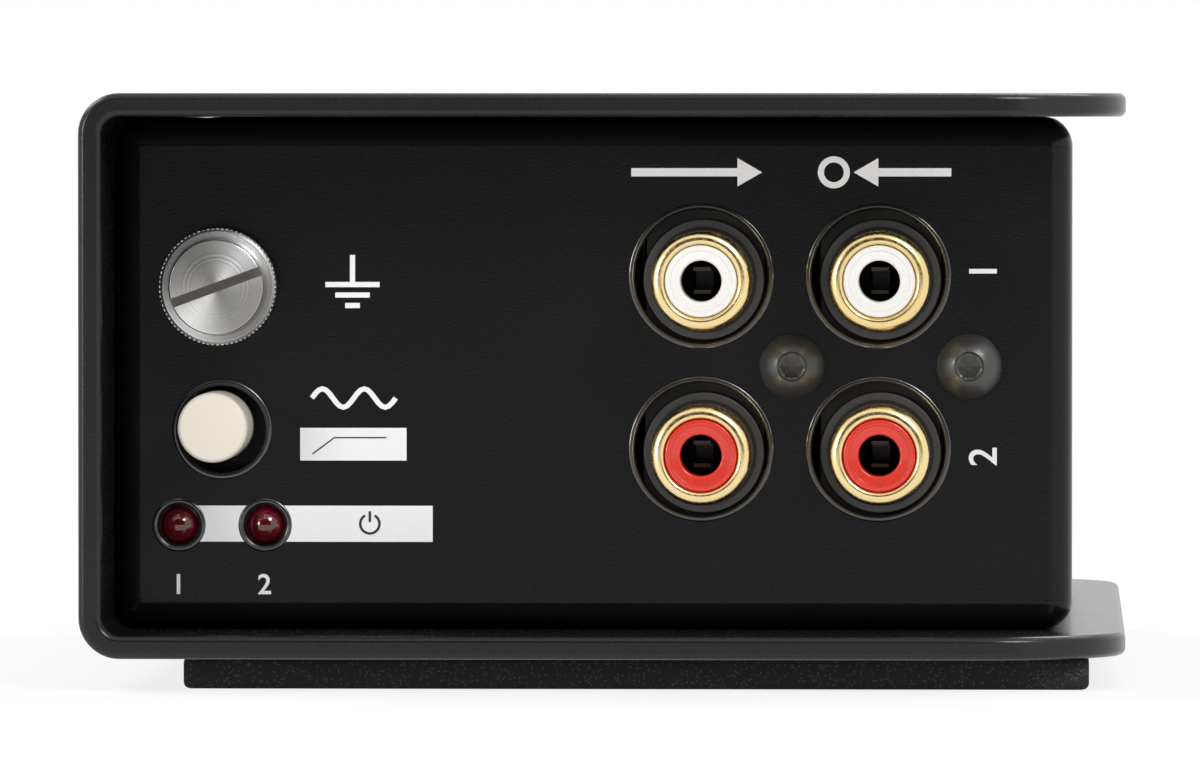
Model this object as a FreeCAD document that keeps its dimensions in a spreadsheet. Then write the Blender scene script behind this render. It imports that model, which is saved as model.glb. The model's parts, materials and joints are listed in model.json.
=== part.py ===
import FreeCAD, Part
import Sketcher
import os
import re

# Phono preamplifier in a folded steel case, millimetres.
# +Z is up, the jack end faces -Y and the open side of the shell faces +X.
# The origin is the centre of the footprint, on the surface that the pad rests on.

SIZES = {
    # outer shell, a U of sheet that is closed on the left
    "case_width": 84.0,
    "case_depth": 127.0,
    "shell_height": 45.4,
    "shell_sheet": 1.9,
    "shell_bend": 3.3,
    "flap_corner": 12.0,
    "edge_round": 0.35,
    # pad glued under the shell
    "pad_height": 2.6,
    "pad_left_inset": 8.05,
    "pad_right_inset": 2.95,
    "pad_depth": 116.0,
    "pad_corner": 1.0,
    # folded inner chassis
    "recess": 12.0,
    "chassis_sheet": 1.2,
    "chassis_bend": 2.3,
    "chassis_fit": 0.1,
    "flap_reach": 4.3,
    "flange": 11.0,
    "relief": 2.35,
    # shell screws and their nuts
    "shell_screw_inset": 18.5,
    "sunk_head_radius": 2.8,
    "clinch_nut_flats": 5.5,
    "clinch_nut_height": 1.7,
    # common three millimetre screws
    "screw_radius": 1.45,
    "screw_head_radius": 2.65,
    "screw_head_height": 1.6,
    "screw_head_slope": 1.0,
    "screw_socket": 1.75,
    "screw_socket_depth": 0.9,
    "screw_hole": 1.65,
    "thread_fit": 0.06,
    # phono jacks
    "jack_inset": 30.03,
    "jack_pitch_x": 14.33,
    "jack_mid_z": 26.2,
    "jack_pitch_z": 14.0,
    "jack_hole": 5.4,
    "jack_drop": 0.3,
    "jack_slip": 0.2,
    "jack_boss_radius": 4.85,
    "jack_boss_set_back": 0.3,
    "jack_block_width": 10.0,
    "jack_block_depth": 12.0,
    "jack_block_margin": 6.6,
    "jack_seat_depth": 6.0,
    "jack_seat_clear": 0.08,
    "shield_radius": 4.03,
    "shield_root_radius": 3.85,
    "shield_root": 0.3,
    "shield_bore": 2.97,
    "shield_reach": 9.0,
    "shield_lip": 0.5,
    "insulator_radius": 2.92,
    "insulator_set_back": 0.25,
    "pin_hole": 1.66,
    "pin_hole_depth": 4.5,
    "contact_chamber": 2.1,
    "contact_sheet": 0.3,
    "contact_width": 1.4,
    "contact_length": 7.5,
    "jack_screw_length": 8.0,
    "jack_ear_radius": 2.0,
    # ground screw
    "ground_inset": 8.65,
    "ground_z": 32.35,
    "ground_collar_radius": 4.73,
    "ground_collar_height": 2.7,
    "ground_collar_chamfer": 0.45,
    "ground_boss_radius": 3.83,
    "ground_boss_height": 2.1,
    "ground_slot": 0.75,
    "ground_slot_depth": 1.1,
    "ground_slot_angle": 20.0,
    "ground_thread": 2.0,
    "ground_length": 6.8,
    "ground_washer_radius": 4.2,
    "ground_washer_sheet": 0.6,
    "ground_nut_height": 3.5,
    "ground_nut_flats": 7.0,
    # filter button and its switch
    "filter_inset": 8.8,
    "filter_z": 20.75,
    "filter_hole": 3.55,
    "filter_shift_x": -0.35,
    "filter_shift_z": 0.3,
    "cap_radius": 2.83,
    "cap_reach": 6.5,
    "cap_tail": 3.4,
    "cap_edge": 0.3,
    "plunger_side": 2.8,
    "plunger_in_cap": 4.0,
    "plunger_in_body": 3.0,
    "switch_travel": 2.2,
    "switch_side": 8.0,
    "switch_front": 6.4,
    "switch_spring": 0.8,
    "slide_clear": 0.15,
    # lamps
    "lamp_inset": 5.3,
    "lamp_pitch": 7.0,
    "lamp_z": 13.0,
    "lamp_radius": 1.5,
    "lamp_hole": 1.68,
    "lamp_reach": 0.7,
    "lamp_length": 5.0,
    "lamp_spacer": 4.0,
    "lead_pitch": 1.27,
    "lead_side": 0.45,
    # boards
    "board_sheet": 1.6,
    "board_top": 10.0,
    "board_margin": 3.0,
    "board_screw_left": -15.5,
    "board_screw_side": 5.7,
    "board_screw_inset": 6.5,
    "standoff_flats": 5.5,
    "board_screw_flats": 5.0,
    "board_screw_head": 1.4,
    "board_screw_grip": 2.2,
    "control_board_set_back": 14.0,
    "control_board_sheet": 1.2,
    "control_board_width": 15.0,
    "control_board_shift": 1.0,
    "control_board_height": 17.0,
    "header_side": 2.5,
    "header_pitch": 2.54,
    # level control
    "level_inset": 23.7,
    "level_z": 25.3,
    "knob_radius": 12.0,
    "knob_height": 11.0,
    "knob_gap": 1.0,
    "knob_flute": 1.6,
    "knob_cavity": 8.5,
    "knob_cavity_depth": 2.6,
    "knob_line": 0.8,
    "knob_line_depth": 0.5,
    "pot_bush": 3.5,
    "pot_bush_reach": 3.2,
    "pot_shaft": 3.0,
    "pot_shaft_grip": 7.0,
    "shaft_fit": 0.05,
    "pot_side": 12.0,
    "pot_depth": 8.5,
    "pot_nut_height": 2.0,
    "pot_nut_radius": 5.5,
    # mini jack and power inlet
    "mini_x": -8.0,
    "mini_z": 14.6,
    "mini_nose": 2.9,
    "mini_nose_reach": 1.0,
    "mini_bore": 1.8,
    "mini_depth": 13.0,
    "mini_side": 6.6,
    "inlet_inset": 7.7,
    "inlet_z": 16.0,
    "inlet_nose": 3.9,
    "inlet_bore": 3.1,
    "inlet_bore_depth": 9.0,
    "inlet_pin": 1.05,
    "inlet_width": 9.0,
    "inlet_height": 11.0,
    "inlet_depth": 13.5,
    "nose_clear": 0.2,
    # parts on the main board
    "can_x": 4.0,
    "can_y": 6.0,
    "can_radius": 5.0,
    "can_height": 13.0,
    "can_pitch": 12.5,
    "film_x": -8.0,
    "film_y": -14.0,
    "film_width": 7.2,
    "film_sheet": 3.5,
    "film_height": 8.0,
    "film_pitch": 6.5,
    "chip_inset": 29.7,
    "chip_y": -24.0,
    "chip_length": 9.3,
    "chip_width": 6.4,
    "chip_height": 3.3,
    "chip_pitch": 14.0,
    "resistor_inset": 13.0,
    "resistor_y": -20.0,
    "resistor_length": 3.2,
    "resistor_width": 1.6,
    "resistor_height": 0.6,
    "resistor_pitch": 4.0,
}

CAN_COUNT = 3
FILM_COUNT = 6
RESISTOR_COUNT = 10
HEADER_PINS = 5
FLUTE_COUNT = 10
DOME_ANGLES = (0, 35, 65)

# Places that follow from the sizes: things near a wall keep their distance from it.
PLACES = {
    "chassis_left": "-case_width / 2 + shell_sheet + chassis_fit",
    "chassis_right": "case_width / 2 - flap_reach",
    "pad_width": "case_width - pad_left_inset - pad_right_inset",
    "pad_shift": "(pad_left_inset - pad_right_inset) / 2",
    "ground_x": "chassis_left + ground_inset",
    "filter_x": "chassis_left + filter_inset",
    "lamp_left_x": "chassis_left + lamp_inset",
    "inlet_x": "chassis_left + inlet_inset",
    "resistor_x": "chassis_left + resistor_inset",
    "jack_left_x": "chassis_right - jack_inset",
    "level_x": "chassis_right - level_inset",
    "board_screw_right": "chassis_right - board_screw_side",
    "chip_x": "chassis_right - chip_inset",
}

WORD = re.compile(r"[a-z][a-z_]+[a-z]")
KEPT_WORDS = {"sin", "cos", "tan", "sqrt", "deg"}

# Places that several pieces share, written once in terms of the sizes above.
PANEL_Y = "(case_depth / 2 - recess)"
CHASSIS_LEFT = "chassis_left"
CHASSIS_RIGHT = "chassis_right"
CHASSIS_LOW = "(pad_height + shell_sheet + chassis_fit)"
CHASSIS_HIGH = "(pad_height + shell_height - shell_sheet - chassis_fit)"
SHELL_MID_Z = "(pad_height + shell_height / 2)"
JACK_X = "(jack_left_x + jack_slip)"
JACK_Z = "(jack_mid_z - jack_drop)"
JACK_OFF = "(jack_pitch_z / 2)"
SCREW_OFF = "(jack_pitch_x / 2)"
BOARD_LOW = "(board_top - board_sheet)"

FACING_FRONT = FreeCAD.Rotation(FreeCAD.Vector(1, 0, 0), 90)
FACING_BACK = FreeCAD.Rotation(FreeCAD.Vector(0, 0, 1), 180).multiply(FACING_FRONT)
FACING_LEFT = FreeCAD.Rotation(FreeCAD.Vector(0, 0, 1), -90).multiply(FACING_FRONT)
UPRIGHT = FreeCAD.Rotation()

DOC = FreeCAD.newDocument("phono_preamp")
PIECES = []


def make_sheet():
    """Put every driving dimension, and then every place, in the spreadsheet with its alias."""
    sheet = DOC.addObject("Spreadsheet::Sheet", "sizes")
    cells = [(alias, repr(value)) for alias, value in SIZES.items()]
    cells += [(alias, "=" + formula) for alias, formula in PLACES.items()]
    for row, (alias, content) in enumerate(cells, 1):
        sheet.set("A%d" % row, alias)
        sheet.set("B%d" % row, content)
        sheet.setAlias("B%d" % row, alias)
        DOC.recompute()
    return sheet


SHEET = make_sheet()


def bound(text):
    """Turn the plain words of an expression into references to the sheet."""
    def refer(match):
        word = match.group(0)
        return word if word in KEPT_WORDS else "sizes." + word
    return WORD.sub(refer, str(text))


def number(text):
    """Work out an expression now."""
    return float(SHEET.evalExpression(bound(text)))


def piece(label, spot=("0", "0", "0"), turn=UPRIGHT):
    """Start a named piece at a place given by three expressions."""
    body = DOC.addObject("PartDesign::Body", label)
    body.Label = label
    body.AllowCompound = True
    body.Placement = FreeCAD.Placement(FreeCAD.Vector(), turn)
    for axis, text in zip("xyz", spot):
        body.setExpression("Placement.Base." + axis, bound(text))
    PIECES.append(body)
    return body


def on_front(label, x, z):
    """A piece whose own Z runs out of the front panel's outer face."""
    return piece(label, (x, "0 - " + PANEL_Y, z), FACING_FRONT)


def on_back(label, x, z):
    """A piece whose own Z runs out of the rear panel's outer face."""
    return piece(label, (x, PANEL_Y, z), FACING_BACK)


def new_sketch(body, role, lift):
    plane = [item for item in body.Origin.OriginFeatures if item.Role == role][0]
    sketch = body.newObject("Sketcher::SketchObject", body.Name + "_sketch")
    sketch.AttachmentSupport = [(plane, "")]
    sketch.MapMode = "FlatFace"
    sketch.setExpression("AttachmentOffset.Base.z", bound(lift))
    return sketch


def hold(sketch, kind, places, text):
    """Add a constraint whose value follows an expression."""
    index = sketch.addConstraint(Sketcher.Constraint(kind, *places, number(text)))
    sketch.setExpression("Constraints[%d]" % index, bound(text))


def draw_circle(sketch, x, y, radius):
    centre = FreeCAD.Vector(number(x), number(y), 0)
    circle = Part.Circle(centre, FreeCAD.Vector(0, 0, 1), number(radius))
    index = sketch.addGeometry(circle, False)
    hold(sketch, "DistanceX", (-1, 1, index, 3), x)
    hold(sketch, "DistanceY", (-1, 1, index, 3), y)
    hold(sketch, "Radius", (index,), radius)


def draw_outline(sketch, points):
    """Draw one closed outline of straight edges through (x, y) expressions."""
    spots = [FreeCAD.Vector(number(x), number(y), 0) for x, y in points]
    first = sketch.GeometryCount
    count = len(spots)
    for index, spot in enumerate(spots):
        edge = Part.LineSegment(spot, spots[(index + 1) % count])
        sketch.addGeometry(edge, False)
    for index in range(count):
        after = first + (index + 1) % count
        sketch.addConstraint(Sketcher.Constraint("Coincident", first + index, 2, after, 1))
    for index, (x, y) in enumerate(points):
        hold(sketch, "DistanceX", (-1, 1, first + index, 1), x)
        hold(sketch, "DistanceY", (-1, 1, first + index, 1), y)


def corners(low_x, low_y, high_x, high_y):
    return [(low_x, low_y), (high_x, low_y), (high_x, high_y), (low_x, high_y)]


def centred(width, height, x="0", y="0"):
    """Corners of a rectangle about a centre."""
    west = "%s - (%s) / 2" % (x, width)
    east = "%s + (%s) / 2" % (x, width)
    south = "%s - (%s) / 2" % (y, height)
    north = "%s + (%s) / 2" % (y, height)
    return corners(west, south, east, north)


def extrude(body, kind, circles, outlines, low, high, role="XY_Plane"):
    """Pad or pocket circles and outlines between two heights of the piece's own axis."""
    sketch = new_sketch(body, role, high if kind == "Pocket" else low)
    for x, y, radius in circles:
        draw_circle(sketch, x, y, radius)
    for points in outlines:
        draw_outline(sketch, points)
    DOC.recompute()
    feature = body.newObject("PartDesign::" + kind, body.Name + "_" + kind.lower())
    feature.Profile = sketch
    feature.setExpression("Length", bound("(%s) - (%s)" % (high, low)))
    DOC.recompute()
    return feature


def add_discs(body, circles, low, high):
    return extrude(body, "Pad", circles, [], low, high)


def cut_discs(body, circles, low, high):
    return extrude(body, "Pocket", circles, [], low, high)


def add_block(body, points, low, high, role="XY_Plane"):
    return extrude(body, "Pad", [], [points], low, high, role)


def cut_block(body, points, low, high, role="XY_Plane"):
    return extrude(body, "Pocket", [], [points], low, high, role)


def hexagon(across_flats, x="0", y="0"):
    """Corners of a hexagon with two of them on its own X axis."""
    points = []
    for step in range(6):
        reach = "(%s) / 2 / cos(30 deg)" % across_flats
        east = "%s + %s * cos(%d deg)" % (x, reach, 60 * step)
        north = "%s + %s * sin(%d deg)" % (y, reach, 60 * step)
        points.append((east, north))
    return points


def turned(body, points):
    """Turn a half section of (radius, height) expressions about the piece's own Z."""
    sketch = new_sketch(body, "XZ_Plane", "0")
    draw_outline(sketch, points)
    DOC.recompute()
    feature = body.newObject("PartDesign::Revolution", body.Name + "_revolution")
    feature.Profile = sketch
    feature.ReferenceAxis = (sketch, ["V_Axis"])
    feature.Angle = 360
    DOC.recompute()
    return feature


def edge_names(feature, test):
    return ["Edge%d" % (index + 1) for index, edge in enumerate(feature.Shape.Edges) if test(edge)]


def soften(body, kind, size, test):
    """Fillet or chamfer the edges of the piece, in its own frame, that pass a test."""
    tip = body.Tip
    names = edge_names(tip, test)
    feature = body.newObject("PartDesign::" + kind, body.Name + "_" + kind.lower())
    feature.Base = (tip, names)
    feature.setExpression("Radius" if kind == "Fillet" else "Size", bound(size))
    DOC.recompute()
    return feature


def near(value, text, within=0.01):
    return abs(value - number(text)) < within


def ring_at(radius, height):
    """Test for a circular edge of a radius at a height."""
    def test(edge):
        if edge.Curve.TypeId != "Part::GeomCircle":
            return False
        return near(edge.Curve.Radius, radius) and near(edge.Curve.Center.z, height)
    return test


def along(axis):
    """Test for a straight edge that runs along one of the piece's own axes."""
    def test(edge):
        if edge.Curve.TypeId not in ("Part::GeomLine", "Part::GeomLineSegment"):
            return False
        start, end = edge.Vertexes[0].Point, edge.Vertexes[-1].Point
        run = end.sub(start)
        return abs(abs(run[axis]) - run.Length) < 1e-6
    return test


def outer_shell():
    """U of folded sheet: top flap, left wall and bottom flap."""
    body = piece("outer_shell", ("0", "case_depth / 2", "pad_height"))
    sketch = new_sketch(body, "XZ_Plane", "0")
    east, west = "case_width / 2", "0 - case_width / 2"
    inner_west = west + " + shell_sheet"
    points = [(east, "0"), (west, "0"), (west, "shell_height"), (east, "shell_height")]
    points += [(east, "shell_height - shell_sheet"), (inner_west, "shell_height - shell_sheet")]
    points += [(inner_west, "shell_sheet"), (east, "shell_sheet")]
    draw_outline(sketch, points)
    DOC.recompute()
    feature = body.newObject("PartDesign::Pad", "shell_pad")
    feature.Profile = sketch
    feature.setExpression("Length", bound("case_depth"))
    DOC.recompute()
    lengthwise = along(1)

    def at_x(edge, text):
        return lengthwise(edge) and near(edge.Vertexes[0].Point.x, text)
    soften(body, "Fillet", "shell_bend", lambda edge: at_x(edge, west))
    soften(body, "Fillet", "shell_bend - shell_sheet", lambda edge: at_x(edge, inner_west))
    upright = along(2)
    soften(body, "Fillet", "flap_corner",
           lambda edge: upright(edge) and near(edge.Vertexes[0].Point.x, east))
    cut_sideways(body, shell_screw_spots(), "screw_hole", west, inner_west)
    soften(body, "Chamfer", "edge_round", shell_rim_test())

    def screw_mouth(edge):
        round_edge = edge.Curve.TypeId == "Part::GeomCircle" and near(edge.Curve.Radius, "screw_hole")
        return round_edge and near(edge.Curve.Center.x, west)
    soften(body, "Chamfer", "sunk_head_radius + shaft_fit - screw_hole", screw_mouth)
    return body


def shell_rim_test():
    """Test for the rims of both ends and of the free edges of the two flaps."""
    depth = number("case_depth")
    straight = along(1)

    def test(edge):
        box = edge.BoundBox
        at_end = box.YLength < 1e-3 and (abs(box.YMin) < 1e-3 or abs(box.YMin + depth) < 1e-3)
        at_side = straight(edge) and near(box.XMin, "case_width / 2")
        rounded = edge.Curve.TypeId == "Part::GeomCircle" and near(edge.Curve.Radius, "flap_corner")
        return at_end and not rounded or at_side or rounded
    return test


def shell_screw_spots():
    """Two screw places on the left wall, as (along the depth, height) from the shell's corner."""
    return [(end, "shell_height / 2") for end in ("shell_screw_inset", "case_depth - shell_screw_inset")]


def cut_sideways(body, spots, radius, low, high):
    """Bore round holes through a wall that stands across X."""
    sketch = new_sketch(body, "YZ_Plane", high)
    for y, z in spots:
        draw_circle(sketch, "0 - (%s)" % y, z, radius)
    DOC.recompute()
    feature = body.newObject("PartDesign::Pocket", body.Name + "_pocket")
    feature.Profile = sketch
    feature.setExpression("Length", bound("(%s) - (%s)" % (high, low)))
    DOC.recompute()
    return feature


def no_slip_pad():
    """Sheet of foam rubber glued under the bottom flap."""
    body = piece("no_slip_pad", ("pad_shift", "0", "0"))
    add_block(body, centred("pad_width", "pad_depth"), "0", "pad_height")
    soften(body, "Fillet", "pad_corner", along(2))
    return body


def inner_chassis():
    """Tray folded from one sheet: right wall, two recessed panels and their flanges."""
    body = piece("inner_chassis")
    low_y = "0 - " + PANEL_Y
    plan = corners(CHASSIS_LEFT, low_y, CHASSIS_RIGHT, PANEL_Y)
    add_block(body, plan, CHASSIS_LOW, CHASSIS_HIGH)
    soften(body, "Fillet", "chassis_bend", lambda edge: True)
    inner = ["%s + chassis_sheet" % CHASSIS_LEFT, low_y + " + chassis_sheet",
             "%s - chassis_sheet" % CHASSIS_RIGHT, PANEL_Y + " - chassis_sheet"]
    cut_block(body, corners(*inner), CHASSIS_LOW + " + chassis_sheet",
              CHASSIS_HIGH + " - chassis_sheet")
    soften(body, "Fillet", "chassis_bend - chassis_sheet", inside_edges(inner))
    window = ["%s - 1" % CHASSIS_LEFT, low_y + " + flange", "%s - flange" % CHASSIS_RIGHT,
              PANEL_Y + " - flange"]
    cut_block(body, corners(*window), CHASSIS_LOW + " - 1", CHASSIS_HIGH + " + 1")
    cut_reliefs(body, low_y)
    cut_sideways(body, chassis_screw_spots(), "screw_hole", CHASSIS_LEFT,
                 CHASSIS_LEFT + " + chassis_sheet")
    panel_holes(body, front_holes(), "0 - (%s)" % low_y)
    panel_holes(body, back_holes(), "0 - (%s - chassis_sheet)" % PANEL_Y)
    return body


def cut_reliefs(body, low_y):
    """Cut the eight corners away where three bends meet."""
    levels = ((CHASSIS_LOW, CHASSIS_LOW + " + relief"), (CHASSIS_HIGH + " - relief", CHASSIS_HIGH))
    for south, north in ((low_y, low_y + " + relief"), (PANEL_Y + " - relief", PANEL_Y)):
        for low, high in levels:
            right = corners("%s - relief" % CHASSIS_RIGHT, south, CHASSIS_RIGHT, north)
            cut_block(body, right, low, high)
            left = corners(CHASSIS_LEFT, south, "%s + relief" % CHASSIS_LEFT, north)
            cut_block(body, left, low, high)


def inside_edges(inner):
    """Test for the edges of the hollow that bend round inside the sheet."""
    low_x, low_y, high_x, high_y = [number(text) for text in inner]
    low_z = number(CHASSIS_LOW + " + chassis_sheet")
    high_z = number(CHASSIS_HIGH + " - chassis_sheet")

    def test(edge):
        box = edge.BoundBox
        on_x = box.XLength < 1e-3 and min(abs(box.XMin - low_x), abs(box.XMin - high_x)) < 1e-3
        on_y = box.YLength < 1e-3 and min(abs(box.YMin - low_y), abs(box.YMin - high_y)) < 1e-3
        on_z = box.ZLength < 1e-3 and min(abs(box.ZMin - low_z), abs(box.ZMin - high_z)) < 1e-3
        return on_x + on_y + on_z >= 2
    return test


def chassis_screw_spots():
    """The shell's screw places, seen from the chassis."""
    ends = ("case_depth / 2 - shell_screw_inset", "shell_screw_inset - case_depth / 2")
    return [(end, SHELL_MID_Z) for end in ends]


def board_screw_spots():
    """Two screw places of the main board, in plan; the jacks hold its other end."""
    row = "%s - board_screw_inset" % PANEL_Y
    return [("board_screw_left", row), ("board_screw_right", row)]


def front_holes():
    """Holes of the front panel as (x, z, radius)."""
    holes = [("ground_x", "ground_z", "ground_thread + 0.3")]
    holes.append(("filter_x", "filter_z", "filter_hole"))
    for column in ("0", "1"):
        x = "jack_left_x + %s * jack_pitch_x" % column
        for side in ("-", "+"):
            holes.append((x, "jack_mid_z %s %s" % (side, JACK_OFF), "jack_hole"))
        screw_x = "%s + %s * jack_pitch_x + %s" % (JACK_X, column, SCREW_OFF)
        holes.append((screw_x, JACK_Z, "screw_hole"))
        holes.append(("lamp_left_x + %s * lamp_pitch" % column, "lamp_z", "lamp_hole"))
    return holes


def back_holes():
    """Holes of the rear panel as (x, z, radius)."""
    holes = [("level_x", "level_z", "pot_bush + nose_clear")]
    holes.append(("mini_x", "mini_z", "mini_nose + nose_clear"))
    holes.append(("inlet_x", "inlet_z", "inlet_nose + nose_clear"))
    return holes


def panel_holes(body, holes, lift):
    """Punch a panel that stands across Y."""
    sketch = new_sketch(body, "XZ_Plane", lift)
    for x, z, radius in holes:
        draw_circle(sketch, x, z, radius)
    DOC.recompute()
    feature = body.newObject("PartDesign::Pocket", body.Name + "_punched")
    feature.Profile = sketch
    feature.setExpression("Length", bound("chassis_sheet"))
    DOC.recompute()


def jack_screws():
    """Two button head screws with hexagon sockets that hold the jack housings to the panel."""
    body = on_front("jack_screws", "%s + %s" % (JACK_X, SCREW_OFF), JACK_Z)
    columns = ("0", "jack_pitch_x")
    add_discs(body, [(x, "0", "screw_head_radius") for x in columns], "0", "screw_head_height")
    soften(body, "Chamfer", "screw_head_slope", ring_at("screw_head_radius", "screw_head_height"))
    add_discs(body, [(x, "0", "screw_radius") for x in columns], "0 - jack_screw_length", "0")
    sockets = [hexagon("screw_socket", x) for x in columns]
    low = "screw_head_height - screw_socket_depth"
    extrude(body, "Pocket", [], sockets, low, "screw_head_height")
    return body


def shell_screws():
    """Two screws through the left wall, with cone heads sunk flush with it."""
    body = piece("shell_screws", ("0 - case_width / 2", "case_depth / 2", "pad_height"), FACING_LEFT)
    spots = [(y, z, "screw_radius") for y, z in shell_screw_spots()]
    cone = "(sunk_head_radius - screw_radius)"
    grip = "0 - shell_sheet - chassis_fit - chassis_sheet - clinch_nut_height"
    add_discs(body, spots, grip, "0 - " + cone)
    head = add_discs(body, spots, "0 - " + cone, "0")
    head.TaperAngle = 45
    sockets = [hexagon("screw_socket", y, z) for y, z in shell_screw_spots()]
    extrude(body, "Pocket", [], sockets, "0 - screw_socket_depth", "0")
    return body


def clinch_nuts():
    """Two nuts pressed into the left flanges of the chassis."""
    spot = (CHASSIS_LEFT + " + chassis_sheet", "case_depth / 2", "pad_height")
    body = piece("clinch_nuts", spot, FACING_LEFT)
    nuts = [hexagon("clinch_nut_flats", y, z) for y, z in shell_screw_spots()]
    bores = [(y, z, "screw_radius + thread_fit") for y, z in shell_screw_spots()]
    extrude(body, "Pad", bores, nuts, "0 - clinch_nut_height", "0")
    return body


def jack_column(column):
    """X of one pair of jacks."""
    return "%s + %s * jack_pitch_x" % (JACK_X, column)


def jack_housing(label, column):
    """Moulded block that carries two jacks, with an ear for its screw."""
    body = on_front(label, jack_column(column), JACK_Z)
    face = "0 - chassis_sheet - chassis_fit"
    back = face + " - jack_block_depth"
    foot = "board_top + slide_clear / 3 - %s" % JACK_Z
    west, east = "0 - jack_block_width / 2", "jack_block_width / 2"
    crown = JACK_OFF + " + jack_block_margin"
    add_block(body, corners(west, foot, east, crown), back, face)
    upright = along(2)
    soften(body, "Fillet", "jack_ear_radius / 4",
           lambda edge: upright(edge) and near(edge.BoundBox.YMin, crown))
    ear = [("0", "0 - jack_ear_radius"), (SCREW_OFF, "0 - jack_ear_radius"),
           (SCREW_OFF, "jack_ear_radius"), ("0", "jack_ear_radius")]
    ear_back = face + " - jack_screw_length"
    add_block(body, ear, ear_back, face)
    add_discs(body, [(SCREW_OFF, "0", "jack_ear_radius")], ear_back, face)
    rows = ("0 - " + JACK_OFF, JACK_OFF)
    add_discs(body, [("0", row, "jack_boss_radius") for row in rows], face, "0 - jack_boss_set_back")
    cut_discs(body, [("0", row, "shield_root_radius + jack_seat_clear") for row in rows],
              "0 - jack_seat_depth", "0 - jack_boss_set_back")
    tail_width = "contact_width + slide_clear * 2"
    tail_height = "contact_sheet * 2 + slide_clear * 2"
    tails = [centred(tail_width, tail_height, "0", row) for row in rows]
    extrude(body, "Pocket", [], tails, back, "0 - jack_seat_depth")
    cut_discs(body, [(SCREW_OFF, "0", "screw_radius + thread_fit")], ear_back, face)
    return body


def jack_shield(label, column, row):
    """Turned and gilded outer contact of one jack."""
    body = on_front(label, jack_column(column), "%s %s %s" % (JACK_Z, row, JACK_OFF))
    inner_lip = "shield_lip * 0.6"
    points = [("shield_bore", "0 - jack_seat_depth"), ("shield_root_radius", "0 - jack_seat_depth"),
              ("shield_root_radius", "shield_root"), ("shield_radius", "shield_root"),
              ("shield_radius", "shield_reach - shield_lip"),
              ("shield_radius - shield_lip", "shield_reach"),
              ("shield_bore + " + inner_lip, "shield_reach"),
              ("shield_bore", "shield_reach - " + inner_lip)]
    turned(body, points)
    return body


def jack_insulator(label, column, row):
    """Coloured insulator with the hole for the plug's pin."""
    body = on_front(label, jack_column(column), "%s %s %s" % (JACK_Z, row, JACK_OFF))
    front = "shield_reach - insulator_set_back"
    neck = front + " - pin_hole_depth"
    points = [("pin_hole", neck), ("contact_chamber", neck), ("contact_chamber", "0 - jack_seat_depth"),
              ("insulator_radius", "0 - jack_seat_depth"), ("insulator_radius", front),
              ("pin_hole", front)]
    turned(body, points)
    return body


def jack_contact(label, column, row):
    """Two-leaved inner contact with its tail, in the chamber of the insulator."""
    body = on_front(label, jack_column(column), "%s %s %s" % (JACK_Z, row, JACK_OFF))
    tip = "shield_reach - insulator_set_back - pin_hole_depth - slide_clear"
    root = tip + " - contact_length"
    half = "contact_width / 2"
    for side in ("-", "+"):
        inner = "0 %s contact_width * 0.55" % side
        outer = "0 %s (contact_width * 0.55 + contact_sheet)" % side
        low, high = (outer, inner) if side == "-" else (inner, outer)
        add_block(body, corners("0 - " + half, low, half, high), root, tip)
    add_block(body, centred("contact_width", "contact_width * 1.1 + contact_sheet * 2"),
              root + " - contact_sheet", root)
    tail = "0 - chassis_sheet - chassis_fit - jack_block_depth - 1"
    add_block(body, centred("contact_width", "contact_sheet * 2"), tail, root + " - contact_sheet")
    return body


def ground_nut():
    """Hexagon nut pressed into the back of the panel."""
    body = on_front("ground_nut", "ground_x", "ground_z")
    bore = ("0", "0", "ground_thread + thread_fit")
    low, high = "0 - chassis_sheet - ground_nut_height", "0 - chassis_sheet"
    extrude(body, "Pad", [bore], [hexagon("ground_nut_flats")], low, high)
    return body


def ground_washer():
    """Captive washer under the head of the ground screw."""
    body = on_front("ground_washer", "ground_x", "ground_z")
    add_discs(body, [("0", "0", "ground_washer_radius")], "0", "ground_washer_sheet")
    cut_discs(body, [("0", "0", "ground_thread + thread_fit")], "0", "ground_washer_sheet")
    return body


def ground_screw():
    """Thumb screw with a wide collar and a slotted boss."""
    body = on_front("ground_screw", "ground_x", "ground_z")
    seat = "ground_washer_sheet"
    collar = seat + " + ground_collar_height"
    face = collar + " + ground_boss_height"
    end = seat + " - ground_length"
    rim = "ground_collar_radius - ground_collar_chamfer"
    points = [("0", end), ("ground_thread - 0.3", end), ("ground_thread", end + " + 0.3"),
              ("ground_thread", seat), ("ground_collar_radius", seat),
              ("ground_collar_radius", collar + " - ground_collar_chamfer"), (rim, collar),
              ("ground_boss_radius", collar), ("ground_boss_radius", face), ("0", face)]
    turned(body, points)
    reach = "(ground_collar_radius + 1)"
    slant = [("+", "-"), ("+", "+"), ("-", "+"), ("-", "-")]
    slot = []
    for end_side, wall_side in slant:
        x = "0 %s %s * cos(ground_slot_angle * 1 deg) %s ground_slot / 2 * sin(ground_slot_angle * 1 deg)"
        y = "0 %s %s * sin(ground_slot_angle * 1 deg) %s ground_slot / 2 * cos(ground_slot_angle * 1 deg)"
        other = "-" if wall_side == "+" else "+"
        slot.append((x % (end_side, reach, other), y % (end_side, reach, wall_side)))
    cut_block(body, slot, face + " - ground_slot_depth", face)
    return body


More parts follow.
